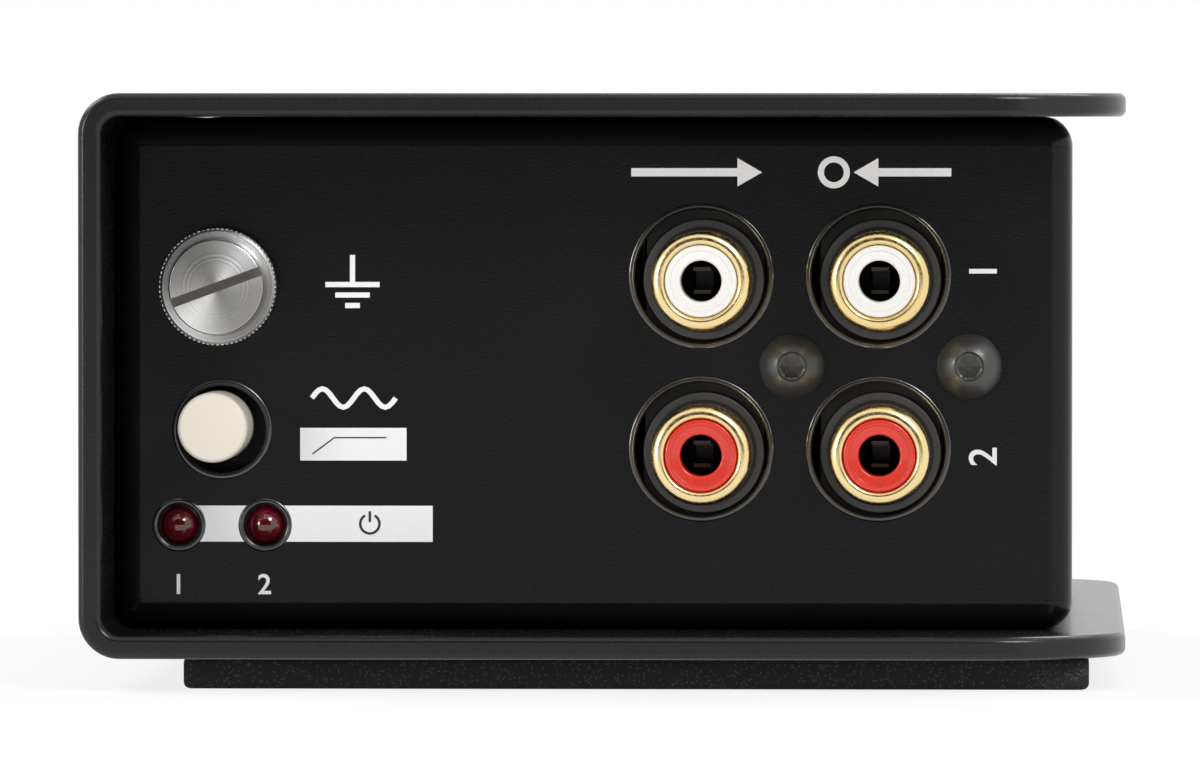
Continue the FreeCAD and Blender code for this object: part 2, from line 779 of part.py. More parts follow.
def filter_button():
    """Push cap with a square socket for the plunger."""
    body = on_front("filter_button", "filter_x + filter_shift_x", "filter_z + filter_shift_z")
    add_discs(body, [("0", "0", "cap_radius")], "0 - cap_tail", "cap_reach")
    soften(body, "Chamfer", "cap_edge", ring_at("cap_radius", "cap_reach"))
    socket = centred("plunger_side + shaft_fit", "plunger_side + shaft_fit")
    sketch_cut_from_below(body, socket, "0 - cap_tail", "plunger_in_cap")
    return body


def sketch_cut_from_below(body, points, low, depth):
    """Sink a pocket upwards from the lower end of a piece."""
    sketch = new_sketch(body, "XY_Plane", low)
    draw_outline(sketch, points)
    DOC.recompute()
    feature = body.newObject("PartDesign::Pocket", body.Name + "_socket")
    feature.Profile = sketch
    feature.Reversed = True
    feature.setExpression("Length", bound(depth))
    DOC.recompute()
    return feature


def filter_plunger():
    """Square plunger between the cap and the switch."""
    body = on_front("filter_plunger", "filter_x + filter_shift_x", "filter_z + filter_shift_z")
    top = "plunger_in_cap - cap_tail - shaft_fit"
    low = "0 - switch_front - plunger_in_body"
    add_block(body, centred("plunger_side", "plunger_side"), low, top)
    return body


def filter_switch():
    """Body of the push switch, open at the front for its plunger."""
    body = on_front("filter_switch", "filter_x + filter_shift_x", "filter_z + filter_shift_z")
    front = "0 - switch_front"
    back = "0 - control_board_set_back"
    add_block(body, centred("switch_side", "switch_side"), back, front)
    pocket = centred("plunger_side + slide_clear * 2", "plunger_side + slide_clear * 2")
    room = "(plunger_in_body + switch_travel + switch_spring)"
    cut_block(body, pocket, front + " - " + room, front)
    return body


def lamp(label, column):
    """Three millimetre lamp with a faceted dome."""
    body = on_front(label, "lamp_left_x + %s * lamp_pitch" % column, "lamp_z")
    points = [("0", "lamp_reach - lamp_length"), ("lamp_radius", "lamp_reach - lamp_length")]
    for angle in DOME_ANGLES:
        radius = "lamp_radius * cos(%d deg)" % angle
        height = "lamp_reach - lamp_radius + lamp_radius * sin(%d deg)" % angle
        points.append((radius, height))
    points.append(("0", points[-1][1]))
    turned(body, points)
    return body


def lamp_pairs(side):
    """Squares at both leads of both lamps, from the left lamp."""
    squares = []
    for column in ("0", "1"):
        for way in ("-", "+"):
            squares.append(centred(side, side, "%s * lamp_pitch %s lead_pitch" % (column, way)))
    return squares


def lamp_leads():
    """Four square leads between the lamps and the control board."""
    body = on_front("lamp_leads", "lamp_left_x", "lamp_z")
    extrude(body, "Pad", [], lamp_pairs("lead_side"),
            "0 - control_board_set_back - control_board_sheet - 1", "lamp_reach - lamp_length")
    return body


def lamp_spacers():
    """Two square spacers that hold the lamps off the control board."""
    body = on_front("lamp_spacers", "lamp_left_x", "lamp_z")
    blocks = [centred("lamp_spacer", "lamp_spacer", x) for x in ("0", "lamp_pitch")]
    low, high = "0 - control_board_set_back", "lamp_reach - lamp_length"
    extrude(body, "Pad", [], blocks + lamp_pairs("lead_side + shaft_fit * 2"), low, high)
    return body


def control_board():
    """Small upright board behind the panel for the switch and the lamps."""
    body = on_front("control_board", "lamp_left_x", "lamp_z")
    low, high = "0 - control_board_set_back - control_board_sheet", "0 - control_board_set_back"
    centre = "lamp_pitch / 2 + control_board_shift"
    foot = "board_top - lamp_z"
    plan = corners(centre + " - control_board_width / 2", foot,
                   centre + " + control_board_width / 2", foot + " + control_board_height")
    extrude(body, "Pad", [], [plan] + lamp_pairs("lead_side + shaft_fit * 2"), low, high)
    return body


def board_header():
    """Row of angled pins that joins the two boards."""
    body = on_front("board_header", "lamp_left_x + lamp_pitch / 2", "board_top")
    back = "0 - control_board_set_back - control_board_sheet"
    width = "header_pitch * %d" % HEADER_PINS
    add_block(body, corners("0 - %s / 2" % width, "0", "%s / 2" % width, "header_side"),
              back + " - header_side", back)
    return body


def main_board():
    """Board that carries the jacks, the sockets and the circuit."""
    body = piece("main_board")
    reach = PANEL_Y + " - board_margin"
    plan = corners(CHASSIS_LEFT + " + board_margin", "0 - (%s)" % reach,
                   CHASSIS_RIGHT + " - board_margin", reach)
    add_block(body, plan, BOARD_LOW, "board_top")
    cut_discs(body, [(x, y, "screw_hole") for x, y in board_screw_spots()], BOARD_LOW, "board_top")
    return body


def board_standoffs():
    """Two hexagon standoffs on the bottom flange of the chassis."""
    body = piece("board_standoffs")
    bores = [(x, y, "screw_radius + thread_fit") for x, y in board_screw_spots()]
    posts = [hexagon("standoff_flats", x, y) for x, y in board_screw_spots()]
    extrude(body, "Pad", bores, posts, CHASSIS_LOW + " + chassis_sheet", BOARD_LOW)
    return body


def board_screws():
    """Two hexagon head screws that hold the main board."""
    body = piece("board_screws")
    heads = [hexagon("board_screw_flats", x, y) for x, y in board_screw_spots()]
    extrude(body, "Pad", [], heads, "board_top", "board_top + board_screw_head")
    shanks = [(x, y, "screw_radius") for x, y in board_screw_spots()]
    add_discs(body, shanks, BOARD_LOW + " - board_screw_grip", "board_top")
    return body


def level_pot():
    """Body and threaded bush of the level control."""
    body = on_back("level_pot", "level_x", "level_z")
    face = "0 - chassis_sheet"
    add_block(body, centred("pot_side", "pot_side"), face + " - pot_depth", face)
    add_discs(body, [("0", "0", "pot_bush")], face, "pot_bush_reach")
    cut_discs(body, [("0", "0", "pot_shaft + shaft_fit")], face + " - pot_depth / 2", "pot_bush_reach")
    return body


def level_nut():
    """Hexagon nut on the bush of the level control."""
    body = on_back("level_nut", "level_x", "level_z")
    add_block(body, hexagon("pot_nut_radius * 2 * cos(30 deg)"), "0", "pot_nut_height")
    cut_discs(body, [("0", "0", "pot_bush + thread_fit")], "0", "pot_nut_height")
    return body


def level_shaft():
    """Plain round shaft of the level control."""
    body = on_back("level_shaft", "level_x", "level_z")
    low = "0 - chassis_sheet - pot_depth / 2 + shaft_fit"
    add_discs(body, [("0", "0", "pot_shaft")], low, "pot_bush_reach + pot_shaft_grip - shaft_fit")
    return body


def level_knob():
    """Fluted dial, hollow behind so that it covers the nut, with a line cut in its face."""
    body = on_back("level_knob", "level_x", "level_z")
    low = "knob_gap"
    high = low + " + knob_height"
    add_discs(body, [("0", "0", "knob_radius")], low, high)
    soften(body, "Chamfer", "edge_round * 2", ring_at("knob_radius", high))
    flute = cut_discs(body, [("knob_radius + knob_flute / 2", "0", "knob_flute")], low, high)
    pattern = body.newObject("PartDesign::PolarPattern", "knob_flutes")
    pattern.Originals = [flute]
    pattern.Axis = (flute.Profile[0], ["N_Axis"])
    pattern.Angle = 360
    pattern.Occurrences = FLUTE_COUNT
    body.Tip = pattern
    DOC.recompute()
    cut_discs(body, [("0", "0", "knob_cavity")], low, low + " + knob_cavity_depth")
    cut_discs(body, [("0", "0", "pot_shaft + shaft_fit")], low, "pot_bush_reach + pot_shaft_grip")
    line = corners("0 - knob_line / 2", "knob_radius / 2", "knob_line / 2", "knob_radius + 1")
    cut_block(body, line, high + " - knob_line_depth", high)
    return body


def mini_jack():
    """Small stereo jack with a round nose through the panel."""
    body = on_back("mini_jack", "mini_x", "mini_z")
    face = "0 - chassis_sheet - chassis_fit"
    low = "mini_nose_reach - mini_depth - 1"
    floor = "board_top + slide_clear / 3 - mini_z"
    add_block(body, corners("0 - mini_side / 2", floor, "mini_side / 2", "mini_side / 2"), low, face)
    add_discs(body, [("0", "0", "mini_nose")], face, "mini_nose_reach")
    cut_discs(body, [("0", "0", "mini_bore")], "mini_nose_reach - mini_depth", "mini_nose_reach")
    return body


def power_inlet():
    """Moulded body of the power inlet."""
    body = on_back("power_inlet", "inlet_x", "inlet_z")
    face = "0 - chassis_sheet - chassis_fit"
    floor = "board_top + slide_clear / 3 - inlet_z"
    block = corners("0 - inlet_width / 2", floor, "inlet_width / 2", floor + " + inlet_height")
    add_block(body, block, face + " - inlet_depth", face)
    add_discs(body, [("0", "0", "inlet_nose")], face, "0")
    cut_discs(body, [("0", "0", "inlet_bore")], "0 - inlet_bore_depth", "0")
    cut_discs(body, [("0", "0", "inlet_pin + shaft_fit")], face + " - inlet_depth", "0 - inlet_bore_depth")
    return body


def power_pin():
    """Centre pin of the power inlet."""
    body = on_back("power_pin", "inlet_x", "inlet_z")
    low = "0 - chassis_sheet - chassis_fit - inlet_depth"
    add_discs(body, [("0", "0", "inlet_pin")], low, "0 - chassis_sheet")
    soften(body, "Chamfer", "inlet_pin / 3", ring_at("inlet_pin", "0 - chassis_sheet"))
    return body


def on_board(label, circles, outlines, height):
    """Parts that stand on the main board as one group of separate solids."""
    body = piece(label)
    extrude(body, "Pad", circles, outlines, "board_top", "board_top + " + height)
    return body


def capacitor_cans():
    """Electrolytic capacitors in a row."""
    rows = ["can_y + %d * can_pitch" % index for index in range(CAN_COUNT)]
    return on_board("capacitor_cans", [("can_x", row, "can_radius") for row in rows], [], "can_height")


def film_capacitors():
    """Film capacitors in a row."""
    outlines = []
    for index in range(FILM_COUNT):
        row = "film_y + %.1f * film_pitch" % (index - (FILM_COUNT - 1) / 2)
        outlines.append(centred("film_width", "film_sheet", "film_x", row))
    return on_board("film_capacitors", [], outlines, "film_height")


def amplifier_chips():
    """Four dual amplifier chips."""
    outlines = []
    for x in ("chip_x", "chip_x + chip_pitch"):
        for y in ("chip_y", "chip_y + chip_pitch"):
            outlines.append(centred("chip_width", "chip_length", x, y))
    return on_board("amplifier_chips", [], outlines, "chip_height")


def resistors():
    """Chip resistors in a row."""
    outlines = []
    for index in range(RESISTOR_COUNT):
        row = "resistor_y + %d * resistor_pitch" % index
        outlines.append(centred("resistor_length", "resistor_width", "resistor_x", row))
    return on_board("resistors", [], outlines, "resistor_height")


def build():
    """Make every piece."""
    outer_shell()
    no_slip_pad()
    inner_chassis()
    shell_screws()
    clinch_nuts()
    for pair, column in (("output", "0"), ("phono", "1")):
        jack_housing(pair + "_jack_housing", column)
        for channel, row in (("left", "+"), ("right", "-")):
            name = "%s_%s_" % (pair, channel)
            jack_shield(name + "shield", column, row)
            jack_insulator(name + "insulator", column, row)
            jack_contact(name + "contact", column, row)
    jack_screws()
    ground_nut()
    ground_washer()
    ground_screw()
    filter_button()
    filter_plunger()
    filter_switch()
    lamp("left_lamp", "0")
    lamp("right_lamp", "1")
    lamp_leads()
    lamp_spacers()
    control_board()
    board_header()
    main_board()
    board_standoffs()
    board_screws()
    level_pot()
    level_nut()
    level_shaft()
    level_knob()
    mini_jack()
    power_inlet()
    power_pin()
    capacitor_cans()
    film_capacitors()
    amplifier_chips()
    resistors()


def check():
    """Stop if any object failed or any piece is not a valid solid."""
    DOC.recompute()
    for item in DOC.Objects:
        if "Invalid" in item.State or "Error" in item.State:
            raise RuntimeError("%s failed: %s" % (item.Label, item.State))
    for body in PIECES:
        shape = body.Shape
        if shape.isNull() or not shape.isValid() or not shape.Solids:
            raise RuntimeError("%s has no valid solid" % body.Label)


def write():
    """Write one file for each piece."""
    os.makedirs("parts", exist_ok=True)
    for body in PIECES:
        body.Shape.exportStep("parts/%s.step" % body.Label)
        print("%-24s %2d solid(s) %10.2f mm3" % (body.Label, len(body.Shape.Solids), body.Shape.Volume))


build()
check()
write()
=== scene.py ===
import itertools
import json
import logging
import math
from dataclasses import dataclass
from enum import Enum
from typing import Any, Callable, Dict, List, Optional, Sequence, Tuple

import bmesh
import bpy
from mathutils import Matrix, Vector


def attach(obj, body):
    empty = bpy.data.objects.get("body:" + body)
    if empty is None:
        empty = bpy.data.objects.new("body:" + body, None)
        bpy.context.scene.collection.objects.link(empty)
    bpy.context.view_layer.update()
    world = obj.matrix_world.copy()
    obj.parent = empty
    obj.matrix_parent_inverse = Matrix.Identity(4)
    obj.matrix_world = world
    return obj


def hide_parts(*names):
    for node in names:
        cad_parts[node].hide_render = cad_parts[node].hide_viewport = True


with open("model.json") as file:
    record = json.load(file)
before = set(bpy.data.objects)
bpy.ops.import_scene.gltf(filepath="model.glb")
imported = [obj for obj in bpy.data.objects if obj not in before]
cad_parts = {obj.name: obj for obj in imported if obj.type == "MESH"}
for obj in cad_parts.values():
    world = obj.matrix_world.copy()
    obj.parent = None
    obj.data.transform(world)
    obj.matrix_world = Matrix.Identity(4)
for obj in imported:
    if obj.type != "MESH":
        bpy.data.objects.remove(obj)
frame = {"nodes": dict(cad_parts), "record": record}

LOG = logging.getLogger("phono_preamp")
MM = 0.001
X, Y, Z = range(3)
Point2 = Tuple[float, float]
Point3 = Tuple[float, float, float]
Colour = Tuple[float, float, float]
Ring = Callable[[float], Point2]


@dataclass(frozen=True)
class NodeBox:
    """Corners of a CAD node's box, in millimetres."""

    low: Point3
    high: Point3

    @classmethod
    def of(cls, node: str) -> "NodeBox":
        """Measure a CAD node.

        Args:
            node: name of the CAD node.

        Returns:
            Its box, to a thousandth of a millimetre.
        """
        spots = [vertex.co / MM for vertex in frame["nodes"][node].data.vertices]
        low = tuple(round(min(spot[axis] for spot in spots), 3) for axis in (X, Y, Z))
        high = tuple(round(max(spot[axis] for spot in spots), 3) for axis in (X, Y, Z))
        return cls(low, high)

    def middle(self, axis: int) -> float:
        """Middle along an axis, to a hundredth of a millimetre."""
        return round((self.low[axis] + self.high[axis]) / 2, 2)

    def half(self, axis: int) -> float:
        """Distance from the middle to the high side, which is a round node's radius."""
        return round(self.high[axis] - self.middle(axis), 3)

    def proud(self) -> float:
        """How far the node stands out of the front panel."""
        return round(CHASSIS.low[Y] - self.low[Y], 3)

    def sunk(self) -> float:
        """How far the node reaches in behind the front panel's face."""
        return round(self.high[Y] - CHASSIS.low[Y], 3)


CHASSIS = NodeBox.of("inner_chassis")


class Body(Enum):
    """Bodies of the frame that the pieces ride on."""

    ROOT = "root"
    FILTER = "filter_key"
    WASHER = "ground_slider"
    THUMB_SCREW = "ground_thumb_screw"
    LEVEL = "level_control"


class Facing(Enum):
    """Panel that a turned piece stands on, with its own Z pointing out of the case."""

    FRONT = "front"
    BACK = "back"

    def place(self, x: float, z: float) -> Matrix:
        """Place of a piece on this panel.

        Args:
            x: millimetres along X of the piece's origin.
            z: millimetres along Z of the piece's origin.

        Returns:
            Matrix from the piece's own millimetres to the frame's metres.
        """
        face = CHASSIS.low[Y]
        turn = Matrix.Rotation(math.radians(90), 4, "X")
        if self is Facing.BACK:
            face = CHASSIS.high[Y]
            turn = Matrix.Rotation(math.radians(180), 4, "Z") @ turn
        return Matrix.Translation(Vector((x, face, z)) * MM) @ turn @ Matrix.Scale(MM, 4)


# Node graphs

class Graph:
    """A node tree with short ways to add and join nodes."""

    def __init__(self, tree: bpy.types.NodeTree) -> None:
        """Keep the tree that the nodes go into."""
        self.tree = tree

    def add(self, kind: str, **settings: Any) -> bpy.types.Node:
        """Add a node.

        Args:
            kind: Blender's name for the node's type.
            settings: attributes of the node to set.

        Returns:
            The new node.
        """
        node = self.tree.nodes.new(kind)
        for name, value in settings.items():
            setattr(node, name, value)
        return node

    def join(self, source: Any, target: bpy.types.NodeSocket) -> None:
        """Feed an input.

        Args:
            source: socket to link to it, or a plain value to set it to.
            target: the input.
        """
        if isinstance(source, bpy.types.NodeSocket):
            self.tree.links.new(source, target)
        else:
            target.default_value = source

    def maths(self, operation: str, *values: Any) -> bpy.types.NodeSocket:
        """Add a Math node.

        Args:
            operation: what the node works out.
            values: socket or number for each of its inputs.

        Returns:
            The node's output.
        """
        node = self.add("ShaderNodeMath", operation=operation)
        for value, target in zip(values, node.inputs):
            self.join(value, target)
        return node.outputs[0]

    def vectors(self, operation: str, *values: Any) -> bpy.types.NodeSocket:
        """Add a Vector Math node.

        Args:
            operation: what the node works out.
            values: socket or vector for each of its inputs.

        Returns:
            The node's output.
        """
        node = self.add("ShaderNodeVectorMath", operation=operation)
        for value, target in zip(values, node.inputs):
            self.join(value, target)
        return node.outputs["Value" if operation == "LENGTH" else "Vector"]

    def spread(self, value: bpy.types.NodeSocket, low: float, high: float,
               start: float = 0.0, end: float = 1.0) -> bpy.types.NodeSocket:
        """Map a value from one range to another.

        Args:
            value: what is mapped.
            low: result at the start.
            high: result at the end.
            start: value that gives the low result.
            end: value that gives the high result.

        Returns:
            The mapped value.
        """
        node = self.add("ShaderNodeMapRange")
        given = {"Value": value, "From Min": start, "From Max": end, "To Min": low, "To Max": high}
        for name, source in given.items():
            self.join(source, node.inputs[name])
        return node.outputs["Result"]

    def blend(self, factor: bpy.types.NodeSocket, first: Colour, second: Colour) -> bpy.types.NodeSocket:
        """Mix two colours by a mask.

        Args:
            factor: mask from 0 to 1.
            first: colour where the mask is 0.
            second: colour where the mask is 1.

        Returns:
            The mixed colour.
        """
        node = self.add("ShaderNodeMix", data_type="RGBA")
        self.join(factor, node.inputs[0])
        node.inputs[6].default_value = (*first, 1.0)
        node.inputs[7].default_value = (*second, 1.0)
        return node.outputs[2]

    def effect(self, group: bpy.types.NodeTree, places: bpy.types.Node, **values: Any) -> bpy.types.Node:
        """Place a shader group that reads Object coordinates.

        Args:
            group: the shader group.
            places: Texture Coordinate node.
            values: value of each of the group's other inputs.

        Returns:
            The group's node.
        """
        node = self.add("ShaderNodeGroup", node_tree=group)
        self.join(places.outputs["Object"], node.inputs["Vector"])
        for name, value in values.items():
            node.inputs[name].default_value = value
        return node


# Keeps what lies across an axis along Y
ACROSS_Y = (1.0, 0.0, 1.0)
# Range that most of a noise texture's values lie in
MIDDLE_OF_NOISE = (0.3, 0.7)
PLACE_INPUT = ("Vector", "NodeSocketVector", None)
CENTRE_INPUT = ("Centre", "NodeSocketVector", (0.0, 0.0, 0.0))


def new_group(name: str, inputs: Sequence[Tuple[str, str, Any]],
              outputs: Sequence[str]) -> Tuple[Graph, bpy.types.Node, bpy.types.Node]:
    """Start a shader group with named sockets.

    Args:
        name: name of the group.
        inputs: name, socket type and default of each input.
        outputs: name of each value that it gives.

    Returns:
        The group's graph, its input node and its output node.
    """
    tree = bpy.data.node_groups.new(name, "ShaderNodeTree")
    for label, kind, default in inputs:
        socket = tree.interface.new_socket(label, in_out="INPUT", socket_type=kind)
        if default is not None:
            socket.default_value = default
    for label in outputs:
        tree.interface.new_socket(label, in_out="OUTPUT", socket_type="NodeSocketFloat")
    graph = Graph(tree)
    return graph, graph.add("NodeGroupInput"), graph.add("NodeGroupOutput")


def grain_group() -> bpy.types.NodeTree:
    """Fine bumps of powder coat or moulded plastic, with slow clouds.

    Returns:
        The shader group.
    """
    inputs = (PLACE_INPUT, ("Grain", "NodeSocketFloat", 2500.0), ("Cloud", "NodeSocketFloat", 40.0))
    graph, given, result = new_group("fine_grain", inputs, ("Fine", "Slow"))
    for scale, detail, output in (("Grain", 3.0, "Fine"), ("Cloud", 2.0, "Slow")):
        noise = graph.add("ShaderNodeTexNoise")
        noise.inputs["Detail"].default_value = detail
        graph.join(given.outputs["Vector"], noise.inputs["Vector"])
        graph.join(given.outputs[scale], noise.inputs["Scale"])
        graph.join(noise.outputs[0], result.inputs[output])
    return graph.tree


def turning_group() -> bpy.types.NodeTree:
    """Concentric marks of a lathe about an axis along Y.

    Returns:
        The shader group.
    """
    inputs = (PLACE_INPUT, CENTRE_INPUT, ("Rings", "NodeSocketFloat", 6000.0))
    graph, given, result = new_group("turning_marks", inputs, ("Rings",))
    away = graph.vectors("SUBTRACT", given.outputs["Vector"], given.outputs["Centre"])
    radius = graph.vectors("LENGTH", graph.vectors("MULTIPLY", away, ACROSS_Y))
    noise = graph.add("ShaderNodeTexNoise", noise_dimensions="1D")
    noise.inputs["Scale"].default_value = 1.0
    noise.inputs["Detail"].default_value = 2.0
    graph.join(graph.maths("MULTIPLY", radius, given.outputs["Rings"]), noise.inputs["W"])
    graph.join(noise.outputs[0], result.inputs["Rings"])
    return graph.tree


def painted_highlight_group() -> bpy.types.NodeTree:
    """Painted highlight: two bright sectors of turned metal, opposite each other about an axis along Y,
    painted into the colour.

    Returns:
        The shader group.
    """
    inputs = (PLACE_INPUT, CENTRE_INPUT, ("Angle", "NodeSocketFloat", 0.9),
              ("Narrowing", "NodeSocketFloat", 4.0))
    graph, given, result = new_group("turned_painted_highlight", inputs, ("PaintedHighlight",))
    parts = graph.add("ShaderNodeSeparateXYZ")
    graph.join(graph.vectors("SUBTRACT", given.outputs["Vector"], given.outputs["Centre"]), parts.inputs[0])
    angle = graph.maths("ARCTAN2", parts.outputs[Z], parts.outputs[X])
    across = graph.maths("COSINE", graph.maths("SUBTRACT", angle, given.outputs["Angle"]))
    sector = graph.maths("POWER", graph.maths("ABSOLUTE", across), given.outputs["Narrowing"])
    graph.join(sector, result.inputs["PaintedHighlight"])
    return graph.tree


def speckle_group() -> bpy.types.NodeTree:
    """Light specks scattered in dark foam.

    Returns:
        The shader group.
    """
    inputs = (PLACE_INPUT, ("Size", "NodeSocketFloat", 1500.0), ("Reach", "NodeSocketFloat", 0.42),
              ("Rarity", "NodeSocketFloat", 0.72))
    graph, given, result = new_group("specks", inputs, ("Specks",))
    cells = graph.add("ShaderNodeTexVoronoi")
    graph.join(given.outputs["Vector"], cells.inputs["Vector"])
    graph.join(given.outputs["Size"], cells.inputs["Scale"])
    chosen = graph.add("ShaderNodeSeparateColor")
    graph.join(cells.outputs["Color"], chosen.inputs[0])
    near = graph.maths("LESS_THAN", cells.outputs["Distance"], given.outputs["Reach"])
    rare = graph.maths("GREATER_THAN", chosen.outputs[0], given.outputs["Rarity"])
    graph.join(graph.maths("MULTIPLY", near, rare), result.inputs["Specks"])
    return graph.tree


GRAIN = grain_group()
TURNING = turning_group()
PAINTED_HIGHLIGHT = painted_highlight_group()
SPECKS = speckle_group()


# Finishes

@dataclass(frozen=True)
class Finish:
    """A surface finish: colours, gloss and the scale of its detail.

    Attributes:
        name: name of the material.
        colour: first colour.
        second: colour of the clouds, specks, painted highlight sectors and glow.
        roughness: middle of the roughness.
        roughness_swing: how far the grain moves it.
        metallic: 1 for bare metal.
        specular: strength of plain reflections.
        coat: weight of a clear coat.
        grain: scale of the fine noise.
        cloud: scale of the slow noise.
        bump: strength of the bump.
        bump_depth: depth of the bump in millimetres.
        anisotropy: stretch of reflections across the turning marks.
        glow: strength of its own light.
        rings_about: centre of the turning marks in millimetres, if it has them.
        rings: scale of the turning marks.
        specks: scale of the light specks, or 0 for none.
        sweep: whether the turned metal has bright sectors.
        coat_roughness: roughness of the clear coat.
    """

    name: str
    colour: Colour
    second: Colour
    roughness: float
    roughness_swing: float = 0.05
    metallic: float = 0.0
    specular: float = 0.5
    coat: float = 0.0
    grain: float = 2500.0
    cloud: float = 40.0
    bump: float = 0.1
    bump_depth: float = 0.02
    anisotropy: float = 0.0
    glow: float = 0.0
    rings_about: Optional[Point3] = None
    rings: float = 6000.0
    specks: float = 0.0
    # sweep: whether the turned metal has painted highlight sectors in its colour.
    sweep: bool = False
    coat_roughness: float = 0.04

    def build(self) -> bpy.types.Material:
        """Make the material.

        Returns:
            The finished material.
        """
        material = bpy.data.materials.new(self.name)
        material.use_nodes = True
        graph = Graph(material.node_tree)
        shader = material.node_tree.nodes["Principled BSDF"]
        self.set_plain_values(shader)
        places = graph.add("ShaderNodeTexCoord")
        grain = graph.effect(GRAIN, places, Grain=self.grain, Cloud=self.cloud)
        height = grain.outputs["Fine"]
        if self.rings_about is not None:
            height = self.turned_height(graph, places)
        mask = self.colour_mask(graph, places, grain)
        graph.join(graph.blend(mask, self.colour, self.second), shader.inputs["Base Color"])
        graph.join(self.uneven_roughness(graph, height), shader.inputs["Roughness"])
        graph.join(self.bumped_normal(graph, height), shader.inputs["Normal"])
        if self.anisotropy > 0.0:
            graph.join(self.ray_from_centre(graph, places), shader.inputs["Tangent"])
        return material

    def set_plain_values(self, shader: bpy.types.Node) -> None:
        """Set the shader's values that don't change over the surface.

        Args:
            shader: the material's Principled BSDF.
        """
        values = {"Metallic": self.metallic, "Specular IOR Level": self.specular, "Coat Weight": self.coat,
                  "Coat Roughness": self.coat_roughness, "Anisotropic": self.anisotropy}
        if self.glow > 0.0:
            values["Emission Color"] = (*self.second, 1.0)
            values["Emission Strength"] = self.glow
        for name, value in values.items():
            shader.inputs[name].default_value = value

    def uneven_roughness(self, graph: Graph, height: bpy.types.NodeSocket) -> bpy.types.NodeSocket:
        """Vary the roughness with the surface's height.

        Args:
            graph: the material's graph.
            height: height of the grain or of the turning marks.

        Returns:
            The roughness.
        """
        smoothest = 0.02
        low = max(smoothest, self.roughness - self.roughness_swing)
        return graph.spread(height, low, self.roughness + self.roughness_swing, *MIDDLE_OF_NOISE)

    def bumped_normal(self, graph: Graph, height: bpy.types.NodeSocket) -> bpy.types.NodeSocket:
        """Turn the surface's height into a normal.

        Args:
            graph: the material's graph.
            height: height of the grain or of the turning marks.

        Returns:
            The normal.
        """
        bump = graph.add("ShaderNodeBump")
        bump.inputs["Strength"].default_value = self.bump
        bump.inputs["Distance"].default_value = self.bump_depth * MM
        graph.join(height, bump.inputs["Height"])
        return bump.outputs[0]

    def centre(self) -> List[float]:
        """Centre of the turning marks in metres."""
        return [value * MM for value in self.rings_about]

    def turned_height(self, graph: Graph, places: bpy.types.Node) -> bpy.types.NodeSocket:
        """Height of the turning marks about the finish's own centre."""
        marks = graph.effect(TURNING, places, Centre=self.centre(), Rings=self.rings)
        return marks.outputs["Rings"]

    def colour_mask(self, graph: Graph, places: bpy.types.Node,
                    grain: bpy.types.Node) -> bpy.types.NodeSocket:
        """Mask between the two colours, by specks, painted highlight sectors or clouds.

        Args:
            graph: the material's graph.
            places: its Texture Coordinate node.
            grain: its grain.

        Returns:
            The mask.
        """
        if self.specks > 0.0:
            return graph.effect(SPECKS, places, Size=self.specks).outputs["Specks"]
        clouds = graph.spread(grain.outputs["Slow"], 0.0, 1.0, *MIDDLE_OF_NOISE)
        if not self.sweep:
            return clouds
        # Painted highlight: the two bright sectors lift the colour to the second colour, with a little
        # cloud
        faintest = 0.85
        sweep = graph.effect(PAINTED_HIGHLIGHT, places, Centre=self.centre())
        return graph.maths("MULTIPLY", sweep.outputs["PaintedHighlight"], graph.spread(clouds, faintest, 1.0))

    def ray_from_centre(self, graph: Graph, places: bpy.types.Node) -> bpy.types.NodeSocket:
        """Direction straight out from the finish's own centre, across its turning marks."""
        away = graph.vectors("SUBTRACT", places.outputs["Object"], self.centre())
        return graph.vectors("NORMALIZE", graph.vectors("MULTIPLY", away, ACROSS_Y))


GROUND_SCREW = NodeBox.of("ground_screw")

SHELL_COAT = Finish("shell_coat", (0.0090, 0.0090, 0.0096), (0.0115, 0.0115, 0.0122), 0.24, specular=0.38,
                    grain=5200.0, bump=0.55, bump_depth=0.010)
CHASSIS_COAT = Finish("chassis_coat", (0.0038, 0.0038, 0.0046), (0.0055, 0.0055, 0.0064), 0.20,
                      specular=0.24, grain=5200.0, bump=0.55, bump_depth=0.010)
RIM_COAT = Finish("rim_coat", (0.0045, 0.0045, 0.0054), (0.0062, 0.0062, 0.0072), 0.22, 0.06,
                  specular=1.0, coat=0.5, grain=5200.0, bump=0.3, bump_depth=0.006)
PAD_FOAM = Finish("pad_foam", (0.030, 0.030, 0.031), (0.085, 0.085, 0.087), 0.9, specular=0.15,
                  grain=2600.0, bump=0.9, bump_depth=0.10, specks=5200.0)
BLACK_OXIDE = Finish("black_oxide", (0.030, 0.029, 0.028), (0.042, 0.041, 0.040), 0.34, 0.08, specular=0.8,
                     grain=5000.0, bump=0.5, bump_depth=0.012)
ZINC = Finish("zinc_plate", (0.55, 0.56, 0.57), (0.65, 0.65, 0.66), 0.3, metallic=1.0, bump=0.15)
